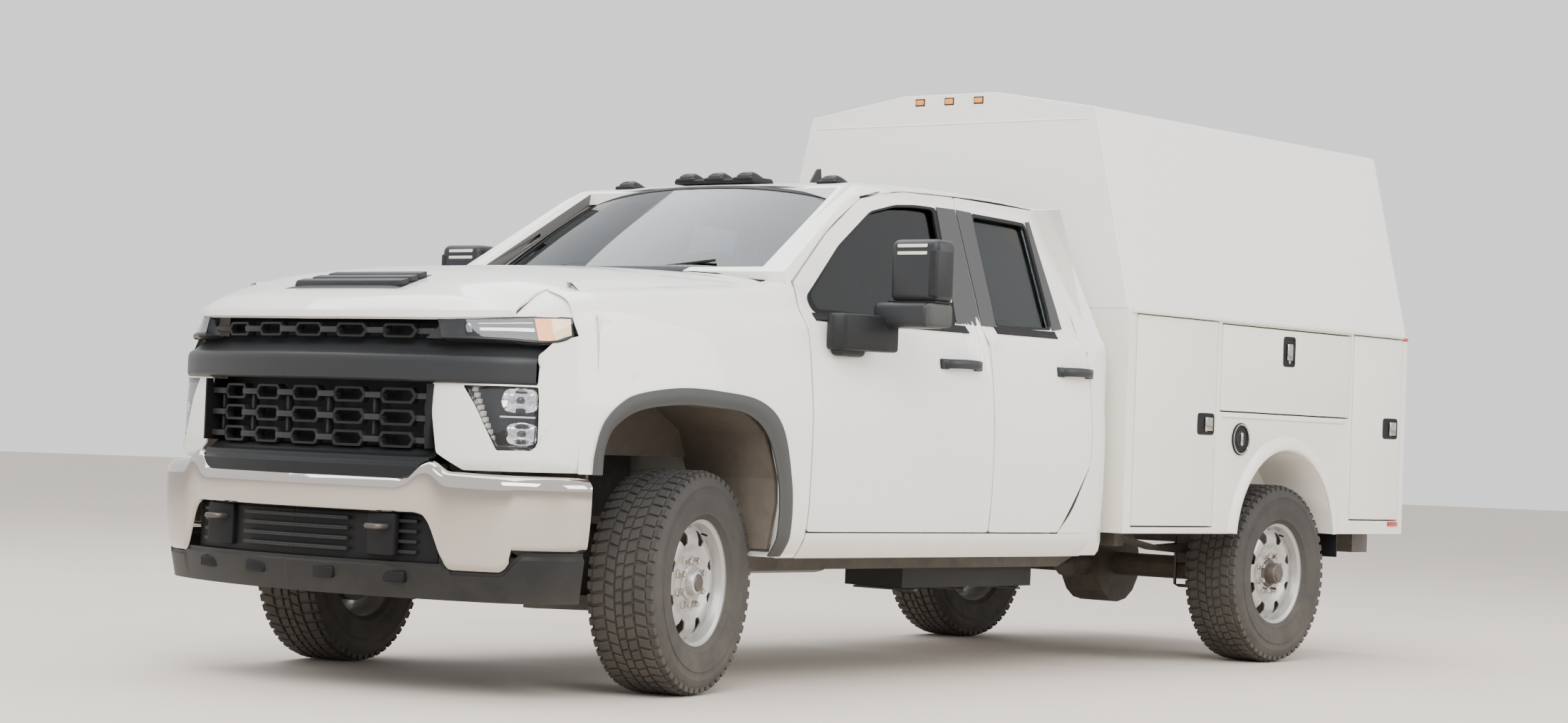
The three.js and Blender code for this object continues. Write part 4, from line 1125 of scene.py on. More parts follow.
@dataclass
class FrontClip:
    """Hood, fenders with their flares, and the lamp bezels."""

    hood_rear: float = 541.0
    half: float = 811.0
    lip: Curve = Curve([(0, -1046), (300, -1028), (600, -976), (700, -928),
                        (760, -868), (811, -790)])
    edge: Curve = Curve([(-800, 1341), (-776, 1364), (-723, 1417), (-635, 1450),
                         (-526, 1469), (-150, 1493), (246, 1517), (541, 1546)])
    ridge: Curve = Curve([(-1046, 1372), (-960, 1408), (-892, 1432), (-685, 1488),
                          (-544, 1524), (-251, 1562), (-23, 1576), (291, 1586),
                          (545, 1590)])
    lip_z: Curve = Curve([(0, 1326), (600, 1330), (811, 1341)])
    arch: list[Flat] = field(default_factory=lambda: [
        (-560, 800), (-552, 890), (-515, 980), (-430, 1044), (-344, 1078), (-153, 1100), (60, 1096),
        (289, 1066), (405, 976), (468, 790), (488, 600), (492, 500)])

    def top(self, x: float, y: float) -> float:
        """Height of the hood's top."""
        t = min(abs(x) / self.half, 1)
        return mix(self.ridge(y), self.edge(y), t ** 4.2)

    def hood_point(self, u: float, v: float) -> Vector:
        """A point of the hood; u runs across, v from the lip's foot to the rear edge."""
        x = (2 * u - 1) * self.half
        y0, z0 = self.lip(abs(x)), self.lip_z(abs(x))
        crest = y0 + mix(78, 60, abs(2 * u - 1))
        if v < 0.06:
            return at(x, y0 + 14 * (1 - v / 0.06), z0 - 8 * (1 - v / 0.06))
        if v < 0.12:
            return at(x, y0 + 4 * (v - 0.06) / 0.06, mix(z0, z0 + 24, (v - 0.06) / 0.06))
        if v < 0.3:
            t = (v - 0.12) / 0.18
            round_t = math.sin(t * math.pi / 2)
            return at(x, mix(y0 + 4, crest, t), mix(z0 + 24, self.top(x, crest), mix(t, round_t, 0.55)))
        y = mix(crest, self.hood_rear, (v - 0.3) / 0.7)
        return at(x, y, self.top(x, y))

    def scoop(self) -> Build:
        """The black intake let into the hood, with its cross slats."""
        build = Build()

        def pad(u: float, v: float, lift: float) -> Vector:
            x = mix(-mix(308, 236, v), mix(308, 236, v), u)
            y = mix(-878, -640, v)
            rim = 1 - max(abs(2 * u - 1), abs(2 * v - 1)) ** 6
            return at(x, y, self.top(x, y) + lift * rim)

        build.skin(30, 12, lambda u, v: pad(u, v, 6), (0, 0, 1), TRIM)
        for k in range(3):
            y0 = -850 + 62 * k
            half = 280 - 18 * k
            slat = prism([(y0, self.top(0, y0) + 3), (y0 + 10, self.top(0, y0) + 24),
                          (y0 + 48, self.top(0, y0) + 34), (y0 + 48,
                                                            self.top(0, y0) + 3)], "x", -half, half, 4, 2)
            build.add(slat, TRIM)
        return build

    def fender(self) -> Mesh:
        """The fender's side from the arch to the seams."""
        top = FLANK.ROLL_END
        inner = Path(self.arch)
        outer_points = ([(-640, 800), (-640, 1000), (-640, 1300)] + [(-655, 1346), (-661, 1381), (-650, top)]
                        + [(-300, top), (0, top), (300, top), (601, top)] + [(601, 1100), (601, 500)])
        outer = Path(outer_points, False)
        knots = Curve([(0, 0), (0.26, 0.27), (0.42, 0.36), (0.76, 0.63), (1, 1)])

        def where(u: float, v: float) -> Vector:
            a, b = inner(u), outer(knots(u))
            share = v ** 0.9
            return FLANK.rolled(mix(a[0], b[0], share), mix(a[1], b[1], share), 1.0)

        return facing(sheet(120, 26, where), (1, 0, 0))

    def brow(self) -> Mesh:
        """The fender's top piece above the lamp."""
        foot = Path([(812, -797, 1342), (870, -760, 1344), (920, -702, 1345), (961, -660, 1344)])

        def where(u: float, v: float) -> Vector:
            y = mix(-797, -650, u)
            high = np.array([812, y, FLANK.shut(y) if u > 0.02 else 1348])
            edge = FLANK.rolled(mix(-640, -560, v), mix(1381, 1600, v), 0.2) * 1000 - Vector((0, AXLE_Y, 0))
            p = mix(mix(foot(u), high, v), np.array(edge), u ** 1.5)
            bulge = math.sin(math.pi * v) * 10 * u * (1 - u)
            return at(p[0] + bulge, p[1], p[2] + bulge)

        return facing(sheet(20, 12, where), (0.5, -0.5, 1))

    def bezel(self) -> Mesh:
        """The white frame round the lower lamp."""
        outer = [(-1201, 1101), (-940, 1103), (-805, 1103), (-796, 1232), (-743, 1285), (-612, 1306),
                 (-612, 803), (-1072, 800), (-1173, 857), (-1192, 980)]
        return facing(ring(loop(outer, 10, 8), loop(LAMP_OPENING, 8, 8), 10,
                           lambda u, z: FLANK.rolled(u, z, 1.2 - 16 * max(0, (846 - z) / 46) ** 1.5
                                              - 1.4 * min(max((u + 650) / 30, 0), 1))), (1, -1, 0))

    def flare(self) -> Mesh:
        """The grey moulding round the wheel opening."""
        outer = Path([(-584, 798), (-577, 883), (-542, 986), (-463, 1058), (-364, 1096), (-153, 1122),
                      (60, 1118),
                      (291, 1089), (422, 993), (488, 784), (507, 600), (510, 505)])
        inner = Path([(-534, 798), (-528, 890), (-485, 970), (-365, 1032), (-150, 1058), (40, 1054),
                      (215, 1036), (338, 958), (412, 795), (436, 600), (442, 505)])

        def where(u: float, v: float) -> Vector:
            p = mix(outer(u), inner(u), v)
            lift = 4 + 11 * math.sin(math.pi * min(1, 0.12 + v * 0.95))
            return FLANK.point(p[0], p[1], lift)

        return facing(sheet(90, 8, where), (1, 0, 0))

    def build(self) -> None:
        """Makes the clip's skins."""
        hood = sheet(60, 50, self.hood_point)
        Build().add(facing(hood, (0, 0, 1)), PAINT).finish("hood_skin", "bonnet", wall=12, soft=2.5,
                                                           replaces=["hood"])
        self.scoop().finish("hood_scoop", "bonnet")
        Build().add(self.fender(), PAINT).pair("fender_skin", "truck", wall=5, soft=2)
        Build().add(self.brow(), PAINT).pair("fender_brow", "truck", wall=5, soft=2)
        Build().add(self.bezel(), PAINT).pair("lamp_bezel", "truck", wall=6, soft=3)
        Build().add(self.flare(), FLARE).pair("wheel_flare", "truck", wall=10, soft=4, segments=3)
        for side in ("left", "right"):
            lined(f"{side}_fender", "truck", PAINT, PAINT, (0, -200, 900), 9, front=-560)
        dress(LINER, "left_wheel_liner", "right_wheel_liner")


@dataclass
class Wheel:
    """One wheel: tyre with tread blocks, pressed steel disc with eight hand holes, and hub."""

    name: str
    centre: tuple[float, float, float]
    driven_hub: bool  # a dark hub that stands through the disc
    turn: float = 0.0
    radius: float = 413.0
    width: float = 279.0
    lugs: int = 56

    def out(self, d: float) -> float:
        """Distance along the axle turned to the truck's outer side."""
        return d if self.centre[0] > 0 else -d

    def tyre(self) -> Mesh:
        """The carcass with its sidewall rings."""
        half = self.width / 2
        side = [(-half + 24, 232), (-half + 16, 244), (-half + 9, 252), (-half + 10, 262), (-half + 4, 280),
                (-half + 1, 300), (-half - 1, 322), (-half - 1, 326), (-half + 2, 328), (-half + 2, 352),
                (-half, 355), (-half + 3, 372), (-half + 12, 388), (-half + 26, 398), (-half + 46, 403.5)]
        ribs = [(-62, 404.5), (-58, 399), (-54, 404.5), (-20, 405), (-17, 399), (-14, 405)]
        profile = side + ribs + [(-d, r) for d, r in reversed(ribs)] + [(-d, r) for d, r in reversed(side)]
        return lathe([(self.out(d), r) for d, r in profile], self.centre, steps=96)

    def block(self, across: float, turn: float, wide: float, long: float, low: float, high: float,
              skew: float) -> Mesh:
        """One tread block, bevelled on its top, in its place round the tyre."""
        mesh = bmesh.new()
        bmesh.ops.create_cube(mesh, size=1)
        for vert in mesh.verts:
            x, y, z = vert.co
            vert.co = Vector((x * wide, y * long + x * wide * skew,
                              mix(low, high, z + 0.5) - abs(x) * 1.5)) / 1000
        tops = [e for e in mesh.edges if all(v.co.z > (low + high) / 2000 for v in e.verts)]
        bmesh.ops.bevel(mesh, geom=tops, offset=0.0022, offset_type="OFFSET", segments=1, profile=0.5,
                        affect="EDGES", material=-1)
        bmesh.ops.rotate(mesh, cent=(0, 0, 0), matrix=Matrix.Rotation(turn, 3, "X"), verts=mesh.verts)
        bmesh.ops.translate(mesh, vec=at(self.centre[0] + self.out(across), *self.centre[1:]),
                            verts=mesh.verts)
        return mesh

    def tread(self) -> Mesh:
        """All the tread blocks: three middle ribs, and shoulder lugs that run down the sidewall."""
        whole = bmesh.new()
        pitch = 2 * math.pi / self.lugs
        long = 2 * math.pi * self.radius / self.lugs
        rows = [(0.0, 26, 0.80, 0.0, 0.25), (-37, 34, 0.78, 0.5, -0.3), (37, 34, 0.78, 0.0, 0.3),
                (-84, 42, 0.74, 0.25, 0.2), (84, 42, 0.74, 0.75, -0.2)]
        for k in range(self.lugs):
            for across, wide, fill, phase, skew in rows:
                turn = (k + phase) * pitch
                part = self.block(across, turn, wide, long * fill, 398, 412.2, skew)
                poured(part, whole)
            for sign in (-1, 1):
                grow = 8 if k % 2 else 0
                part = self.block(sign * 118, (k + (0.25 if sign < 0 else 0.75)) * pitch, 24, long * 0.6,
                                  376 - grow, 404, 0)
                poured(part, whole)
        return whole

    def disc(self) -> Mesh:
        """The pressed disc: eight segments, each a band round its hand hole."""
        dish = Curve([(60, 74), (84, 70), (112, 66), (134, 80), (150, 86), (172, 84), (196, 70), (209, 66)])

        def where(turn: float, r: float) -> Vector:
            return at(self.centre[0] + self.out(dish(r)), self.centre[1] + r * math.sin(turn),
                      self.centre[2] + r * math.cos(turn))

        whole = bmesh.new()
        half = math.pi / 8
        for k in range(8):
            mid = (k + 0.5) * math.pi / 4
            outer = loop([(-half, 209), (0.0, 209), (half, 209), (half, 140), (half, 60), (0.0, 60),
                          (-half, 60),
                          (-half, 140)], 0, 5)
            hole = loop([(-0.145, 197), (0.0, 199), (0.145, 197), (0.165, 180), (0.10, 146), (0.0, 141),
                         (-0.10, 146), (-0.165, 180)], 0, 5)
            part = ring([(mid + a, r) for a, r in outer], [(mid + a, r) for a, r in hole], 7, where)
            poured(part, whole)
        bmesh.ops.remove_doubles(whole, verts=whole.verts, dist=1e-5)
        bmesh.ops.recalc_face_normals(whole, faces=whole.faces)
        return facing(whole, (self.out(1), 0, 0))

    def barrel(self) -> Mesh:
        """The rim that the tyre sits on."""
        profile = [(66, 207), (84, 213), (100, 219), (107, 230), (112, 240), (118, 244), (119, 247.5),
                   (115, 249),
                   (108, 247), (104, 242), (96, 236), (40, 212), (-50, 208), (-96, 232), (-104, 242),
                   (-112, 249),
                   (-118, 247), (-112, 236), (-100, 224), (-55, 201), (40, 203), (66, 207)]
        return lathe([(self.out(d), r) for d, r in profile], self.centre, steps=96)

    def hub(self) -> Build:
        """The hub and its lug nuts."""
        build = Build()
        finish = DARK_STEEL if self.driven_hub else RIM
        reach = 128 if self.driven_hub else 112
        hub = [(52, 0.1), (52, 66), (74, 66), (80, 62), (84, 50), (reach - 12, 47), (reach - 3, 43),
               (reach, 36),
               (reach + 1, 12), (reach + 1, 0.1)]
        build.add(lathe([(self.out(d), r) for d, r in hub], self.centre, steps=40), finish)
        cap = [(reach, 33), (reach + 5, 31), (reach + 6, 24), (reach + 4, 0.1)]
        build.add(lathe([(self.out(d), r) for d, r in cap], self.centre, steps=32), DARK_STEEL)
        for k in range(8):
            turn = (k + 0.5) * math.pi / 4
            y, z = 86 * math.sin(turn), 86 * math.cos(turn)
            nut = [(64, 0.1), (64, 19), (72, 18), (76, 13.5), (96, 13), (101, 9), (102, 0.1)]
            place = (self.centre[0], self.centre[1] + y, self.centre[2] + z)
            build.add(lathe([(self.out(d), r) for d, r in nut], place, steps=6), CHROME)
            if self.driven_hub:
                bolt = [(reach - 4, 0.1), (reach - 4, 7), (reach + 5, 6.5), (reach + 5, 0.1)]
                place = (self.centre[0], self.centre[1] + y * 0.32, self.centre[2] + z * 0.32)
                build.add(lathe([(self.out(d), r) for d, r in bolt], place, steps=6), DARK_STEEL)
        return build

    def valve(self) -> Mesh:
        """The tyre valve."""
        x, y, z = self.centre
        return pipe([(x + self.out(88), y + 60, z + 178), (x + self.out(112), y + 58, z + 172)], 4, 8, 4)

    def build(self) -> None:
        """Makes the wheel's pieces and turns them to where the wheel points."""
        body = self.name
        rubber = Build().add(self.tyre(), RUBBER).add(self.tread(), RUBBER)
        rubber.turned(self.centre, self.turn).finish(f"{self.name}_tread", body, replaces=[
            self.name.replace("wheel", "tyre")], smooth=40)
        steel = Build().add(self.barrel(), RIM)
        steel.turned(self.centre, self.turn).finish(f"{self.name}_barrel", body, replaces=[
            self.name.replace("wheel", "rim")])
        Build().add(self.disc(), RIM).turned(self.centre, self.turn).finish(
            f"{self.name}_disc", body, wall=7, soft=2.5)
        hub = self.hub().add(self.valve(), SEAL)
        hub.turned(self.centre, self.turn).finish(f"{self.name}_hub", body)


@dataclass
class Studio:
    """Floor, light and camera."""

    camera_at: tuple[float, float, float] = (8.573, -10.761, 0.951)
    yaw: float = -39.118
    pitch: float = 1.708
    roll: float = 2.204
    focal: float = 4427.94
    centre: tuple[float, float] = (1142.8, 485.8)
    frame_size: tuple[int, int] = (2200, 1015)

    def camera(self) -> None:
        """Sets the camera where the truck was seen from."""
        data = bpy.data.cameras.new("view")
        data.sensor_width = 36
        data.lens = self.focal / self.frame_size[0] * 36
        data.shift_x = (self.frame_size[0] / 2 - self.centre[0]) / self.frame_size[0]
        data.shift_y = (self.centre[1] - self.frame_size[1] / 2) / self.frame_size[0]
        data.clip_end = 200
        yaw, pitch, roll = (math.radians(a) for a in (self.yaw, self.pitch, self.roll))
        ahead = Vector((math.cos(pitch) * math.sin(yaw), math.cos(pitch) * math.cos(yaw), math.sin(pitch)))
        right = Vector((math.cos(yaw), -math.sin(yaw), 0))
        up = right.cross(ahead)
        right, up = (right * math.cos(roll) + up * math.sin(roll),
                     up * math.cos(roll) - right * math.sin(roll))
        turn = Matrix((right, up, -ahead)).transposed().to_4x4()
        camera = bpy.data.objects.new("view", data)
        camera.matrix_world = Matrix.Translation(self.camera_at) @ turn
        bpy.context.scene.collection.objects.link(camera)
        bpy.context.scene.camera = camera

    def light(self, name: str, spot: Sequence[float], size: float, power: float, colour: Tint) -> None:
        """Adds a soft square lamp that looks at the truck's middle."""
        data = bpy.data.lights.new(name, "AREA")
        data.shape, data.size, data.energy, data.color = "SQUARE", size, power, colour
        lamp = bpy.data.objects.new(name, data)
        lamp.location = spot
        lamp.rotation_euler = (Vector((0, 0, 1)) - Vector(spot)).to_track_quat("-Z", "Y").to_euler()
        bpy.context.scene.collection.objects.link(lamp)

    def build(self) -> None:
        """Makes the floor, the lights, the surrounding light and the camera."""
        mesh = bmesh.new()
        bmesh.ops.create_circle(mesh, cap_ends=True, segments=96, radius=60)
        data = bpy.data.meshes.new("studio_floor")
        mesh.to_mesh(data)
        floor = bpy.data.objects.new("studio_floor", data)
        bpy.context.scene.collection.objects.link(floor)
        pale = bpy.data.materials.new("studio_floor")
        pale.use_nodes = True
        tree = pale.node_tree
        shader = tree.nodes["Principled BSDF"]
        shader.inputs["Roughness"].default_value = 0.75
        coords = Effects.node(tree, "ShaderNodeTexCoord").outputs["Object"]
        tone = Effects.group(tree, Effect.MOTTLE, {"Vector": coords, "Color": (0.66, 0.60, 0.53, 1),
                                                   "Second": (0.54, 0.48, 0.42, 1), "Scale": 0.5,
                                                   "Amount": 0.7})
        tree.links.new(tone.outputs["Color"], shader.inputs["Base Color"])
        data.materials.append(pale)
        self.light("key", (7, -9, 9), 9, 1900, (1, 0.985, 0.96))
        self.light("side", (11, 5, 6), 8, 1000, (1, 0.99, 0.97))
        self.light("top", (-3, 0, 11), 12, 1700, (0.97, 0.98, 1))
        world = bpy.data.worlds.new("surround")
        world.use_nodes = True
        back = world.node_tree.nodes["Background"]
        back.inputs["Color"].default_value = (0.98, 0.985, 1, 1)
        back.inputs["Strength"].default_value = 1.25
        bpy.context.scene.world = world
        self.camera()


DOORS = [
    Door("front", [(607, 603), (607, 1553), (883, 1763), (1139, 1916), (1290, 1949), (1437, 1968),
                   (1773, 1975),
                   (1773, 603)],
         [(686, 1440), (664, 1500), (936, 1716), (1195, 1872), (1373, 1912), (1510, 1922), (1644, 1922),
          (1604, 1440)], 1438, (1423, 1694),
         covers=[[(1606, 1446), (1771, 1446), (1772, 1926), (1646, 1926)]], glass=DARK_GLASS),
    Door("rear", [(1779, 603), (1779, 1300), (1779, 1975), (2392, 1965), (2464, 1486), (2493, 1320),
                  (2489, 900),
                  (2272, 603)],
         [(1880, 1446), (1882, 1700), (1884, 1918), (2272, 1906), (2280, 1740), (2290, 1454), (2150, 1450),
          (2000, 1446)], 1446, (2243, 2499),
         covers=[[(1780, 1446), (1878, 1446), (1884, 1922), (1780, 1926)],
                 [(2292, 1452), (2372, 1462), (2318, 1916), (2276, 1912)]]),
]
STEER = 14.5  # degrees that the front wheels stand to the left at rest
KINGPIN = 78.0  # from the steering axis out to the wheel's middle
HUB_X, HUB_Z, WHEELBASE = 868.0, 413.0, 4128.0
SWING_X = KINGPIN * (1 - math.cos(math.radians(STEER)))
SWING_Y = KINGPIN * math.sin(math.radians(STEER))
WHEELS = [
    Wheel("left_front_wheel", (HUB_X - SWING_X, SWING_Y, HUB_Z), False, STEER),
    Wheel("right_front_wheel", (-HUB_X + SWING_X, -SWING_Y, HUB_Z), False, STEER),
    Wheel("left_rear_wheel", (HUB_X, WHEELBASE, HUB_Z), True),
    Wheel("right_rear_wheel", (-HUB_X, WHEELBASE, HUB_Z), True),
]


# ---- front end ----------------------------------------------------------------------------------


def nose(x: float, z: float, out: float = 0) -> Vector:
    """A point of the truck's front face; out counts forwards."""
    pts = FLANK.plan.points
    side = pts[:int(np.argmax(pts[:, 0] > 1029))]
    y = float(np.interp(abs(x), side[:, 0], side[:, 1]))
    return at(x, y - out, z)


@dataclass
class Grille:
    """Crossbar, slotted mesh, shelf and surround."""

    half: float = 596.0
    columns: int = 5
    pitch: float = 215.0
    rows: tuple[float, ...] = (1052.0, 974.0, 896.0)
    bar_half: float = 919.0
    top_row: float = 1281.0

    def slot(self, x: float, z: float, wide: float, high: float) -> Mesh:
        """One six-sided slot frame."""
        w, h = wide / 2, high / 2
        six = [(-w + 16, -h), (w - 16, -h), (w, 0), (w - 16, h), (-w + 16, h), (-w, 0)]
        outer = [(a * 1.22, b * 1.5) for a, b in six]
        return facing(ring(loop(outer, 4, 5), loop(six, 4, 5), 2,
                           lambda a, b: nose(x + a, z + b, -22)), (0, -1, 0))

    def bar(self) -> Mesh:
        """The wide bar: flat face, bevelled top and a shelf running back under the lamps."""
        profile = Path([(20, 1102), (34, 1106), (38, 1116), (38, 1180), (32, 1194), (-6, 1214), (-44, 1240),
                        (-56, 1256)], False)

        def where(u: float, v: float) -> Vector:
            x = (2 * u - 1) * self.bar_half
            out, z = profile(v)
            return nose(x, z, out - 12 - 44 * abs(2 * u - 1) ** 6)

        return facing(sheet(90, 22, where), (0, -1, 0))

    def build(self) -> None:
        """Makes the grille's pieces."""
        back = Build().skin(60, 20, lambda u, v: nose(mix(-600, 600, u), mix(806, 1330, v), -84),
                            (0, -1, 0), SEAL)
        for side in (-1, 1):
            back.add(block((side * 588 - 4, -985, 870), (side * 588 + 4, -880, 1096)), SEAL)
        back.finish("grille_back", "truck", wall=6, replaces=["grille"])
        mesh = Build()
        for k in range(self.columns):
            x = (k - (self.columns - 1) / 2) * self.pitch
            for z in self.rows:
                mesh.add(self.slot(x, z, 132, 38), TRIM)
            mesh.add(self.slot(x * 0.985, self.top_row, 128, 34), TRIM)
        mesh.finish("grille_slots", "truck", wall=34, soft=2.5)
        links = Build()
        for k in range(self.columns + 1):
            x = (k - self.columns / 2) * self.pitch
            for z in (*self.rows, self.top_row):
                p = nose(x, z, 0) * 1000
                y = p.y - AXLE_Y
                links.add(block((x - 44, y + 18, z - 11), (x + 44, y + 60, z + 11), 4), SATIN)
            for z in (1013, 935):
                y = nose(x, z, 0).y * 1000 - AXLE_Y
                links.add(block((x - 6, y + 34, z - 26), (x + 6, y + 60, z + 26), 2), TRIM)
        for side in (-1, 1):
            panel = sheet(10, 6, lambda u, v, side=side: nose(
                side * mix(mix(548, 628, v), mix(676, 700, v), u), mix(1256, 1326, v), -8))
            links.add(facing(panel, (0, -1, 0)), SATIN)
            wedge = sheet(6, 6, lambda u, v, side=side: nose(
                side * mix(mix(662, 690, v), mix(704, 692, v), u), mix(1264, 1316, v), -3))
            links.add(facing(wedge, (0, -1, 0)), APPLIQUE)
        links.finish("grille_links", "truck")
        Build().add(self.bar(), SATIN).finish("grille_bar", "truck", wall=10, soft=3, segments=3)
        shelf = Path([(-70, 872), (-40, 866), (-20, 846), (10, 838), (16, 820), (34, 806), (36, 762)], False)
        Build().skin(60, 24, lambda u, v: nose(mix(-self.half + 4, self.half - 4, u), shelf(v)[1],
                                               shelf(v)[0]), (0, -1, 1), TRIM).finish(
            "grille_shelf", "truck", wall=8, soft=2)


@dataclass
class Headlamps:
    """Upper lamps with their turn signals and the lower main lamps."""

    top: Path = Path([(606, -968, 1322), (700, -922, 1325), (800, -830, 1333),
                      (868, -765, 1340), (920, -704, 1343), (961, -660, 1343)])
    foot: Path = Path([(628, -966, 1262), (740, -912, 1262), (850, -838, 1260),
                       (905, -790, 1256), (944, -735, 1256), (962, -692, 1266),
                       (970, -661, 1283)])

    def face(self, u: float, v: float, back: float = 0) -> Vector:
        """A point of the upper lamp's face, or some way behind it."""
        p = mix(self.foot(u), self.top(u), v)
        return at(p[0] - 0.6 * back, p[1] + 0.8 * back, p[2])

    def cut(self, u0: float, u1: float, v0: float, v1: float, back: float, finish: Look,
            build: Build) -> None:
        """Adds a strip of the upper lamp's inside."""
        build.skin(12, 4, lambda u, v: self.face(mix(u0, u1, u), mix(v0, v1, v), back),
                   (0.5, -1, 0), finish)

    def upper(self) -> None:
        """Makes the upper lamps."""
        house = Build()
        self.cut(0, 1, -0.08, 1.08, 30, LAMP_BODY, house)
        self.cut(0, 1, -0.1, 0.02, 4, LAMP_BODY, house)
        self.cut(0, 1, 0.96, 1.06, 4, LAMP_BODY, house)
        self.cut(0.3, 0.7, 0.4, 0.56, 16, REFLECTOR, house)
        self.cut(0.2, 0.24, 0.3, 0.8, 16, REFLECTOR, house)
        self.cut(0.3, 0.7, 0.76, 0.8, 14, REFLECTOR, house)
        self.cut(0.72, 0.84, 0.04, 0.96, -1, AMBER, house)
        self.cut(0.84, 0.985, 0.04, 0.96, -1, PALE_AMBER, house)
        self.cut(0.985, 1.0, 0.0, 1.0, 2, LAMP_BODY, house)
        house.pair("upper_lamp_house", "truck", wall=3, soft=0.8, replaces=["headlamp"])
        lens = sheet(40, 6, lambda u, v: self.face(u, v))
        Build().add(facing(lens, (0.5, -1, 0)), SMOKED_LENS).pair("upper_lamp_lens", "truck", wall=3,
                                                                  soft=0.8)
        chin = sheet(30, 4, lambda u, v: at(*mix(np.array(self.foot(u)) + (2, -2, -3),
                                                 np.array(nose(mix(600, 919, u), 1246, -50) * 1000)
                                                 + (0, -AXLE_Y, 0), v)))
        Build().add(facing(chin, (0, -1, 0)), SATIN).pair("lamp_chin", "truck", wall=8, soft=2)

    def lower(self) -> None:
        """Makes the lower lamps: dark case, light strip, two bowls and a clear cover."""
        opening = loop(LAMP_OPENING, 8, 8)
        middle = (-925.0, 985.0)
        point = [middle] * len(opening)
        case = Build().add(facing(ring(opening, point, 6, lambda u, z: FLANK.point(u, z, -70)), (1, -1, 0)),
                           LAMP_BODY)
        walls = sheet(len(opening), 4, lambda u, v: FLANK.point(
            *opening[int(round(u * len(opening))) % len(opening)], mix(-2, -70, v)), closed=True)
        case.add(walls, LAMP_BODY)
        case.pair("lower_lamp_case", "truck")
        parts = Build()
        for k in range(9):
            t = k / 8
            p = FLANK.point(mix(-1044, -972, t), mix(1084, 916, t), -26) * 1000
            parts.add(block((p.x - 10, p.y - AXLE_Y - 6, p.z - 9), (p.x + 10, p.y - AXLE_Y + 10, p.z + 9),
                            3), STRIP)
        for run, z, wide, high in ((-866, 1048, 68, 44), (-856, 932, 58, 40)):
            def bowl(u: float, v: float, run: float = run, z: float = z, wide: float = wide,
                     high: float = high) -> Vector:
                turn, r = 2 * math.pi * u, mix(1.0, 0.16, v)
                a, b = math.cos(turn), math.sin(turn)
                square = 1 / max(abs(a), abs(b)) ** 0.4
                return FLANK.point(run + wide * r * a * square, z + high * r * b * square,
                                   -7 - 46 * math.sin(v * math.pi / 2))
            parts.add(facing(sheet(36, 10, bowl, closed=True), (1, -1, 0)), REFLECTOR)
            p = FLANK.point(run, z, -44) * 1000
            ball = bmesh.new()
            bmesh.ops.create_uvsphere(ball, u_segments=20, v_segments=12, radius=0.017)
            bmesh.ops.translate(ball, vec=p / 1000, verts=ball.verts)
            parts.add(ball, LENS)
        fin = sheet(12, 3, lambda u, v: FLANK.point(mix(-940, -812, u), mix(988, 994, v), -16))
        parts.add(facing(fin, (1, -1, 0)), REFLECTOR)
        parts.pair("lower_lamp_bowls", "truck")
        cover = ring(opening, point, 6, lambda u, z: FLANK.point(u, z, -5))
        Build().add(facing(cover, (1, -1, 0)), LENS).pair("lower_lamp_lens", "truck", wall=3)

    def build(self) -> None:
        """Makes both pairs of lamps."""
        self.upper()
        self.lower()


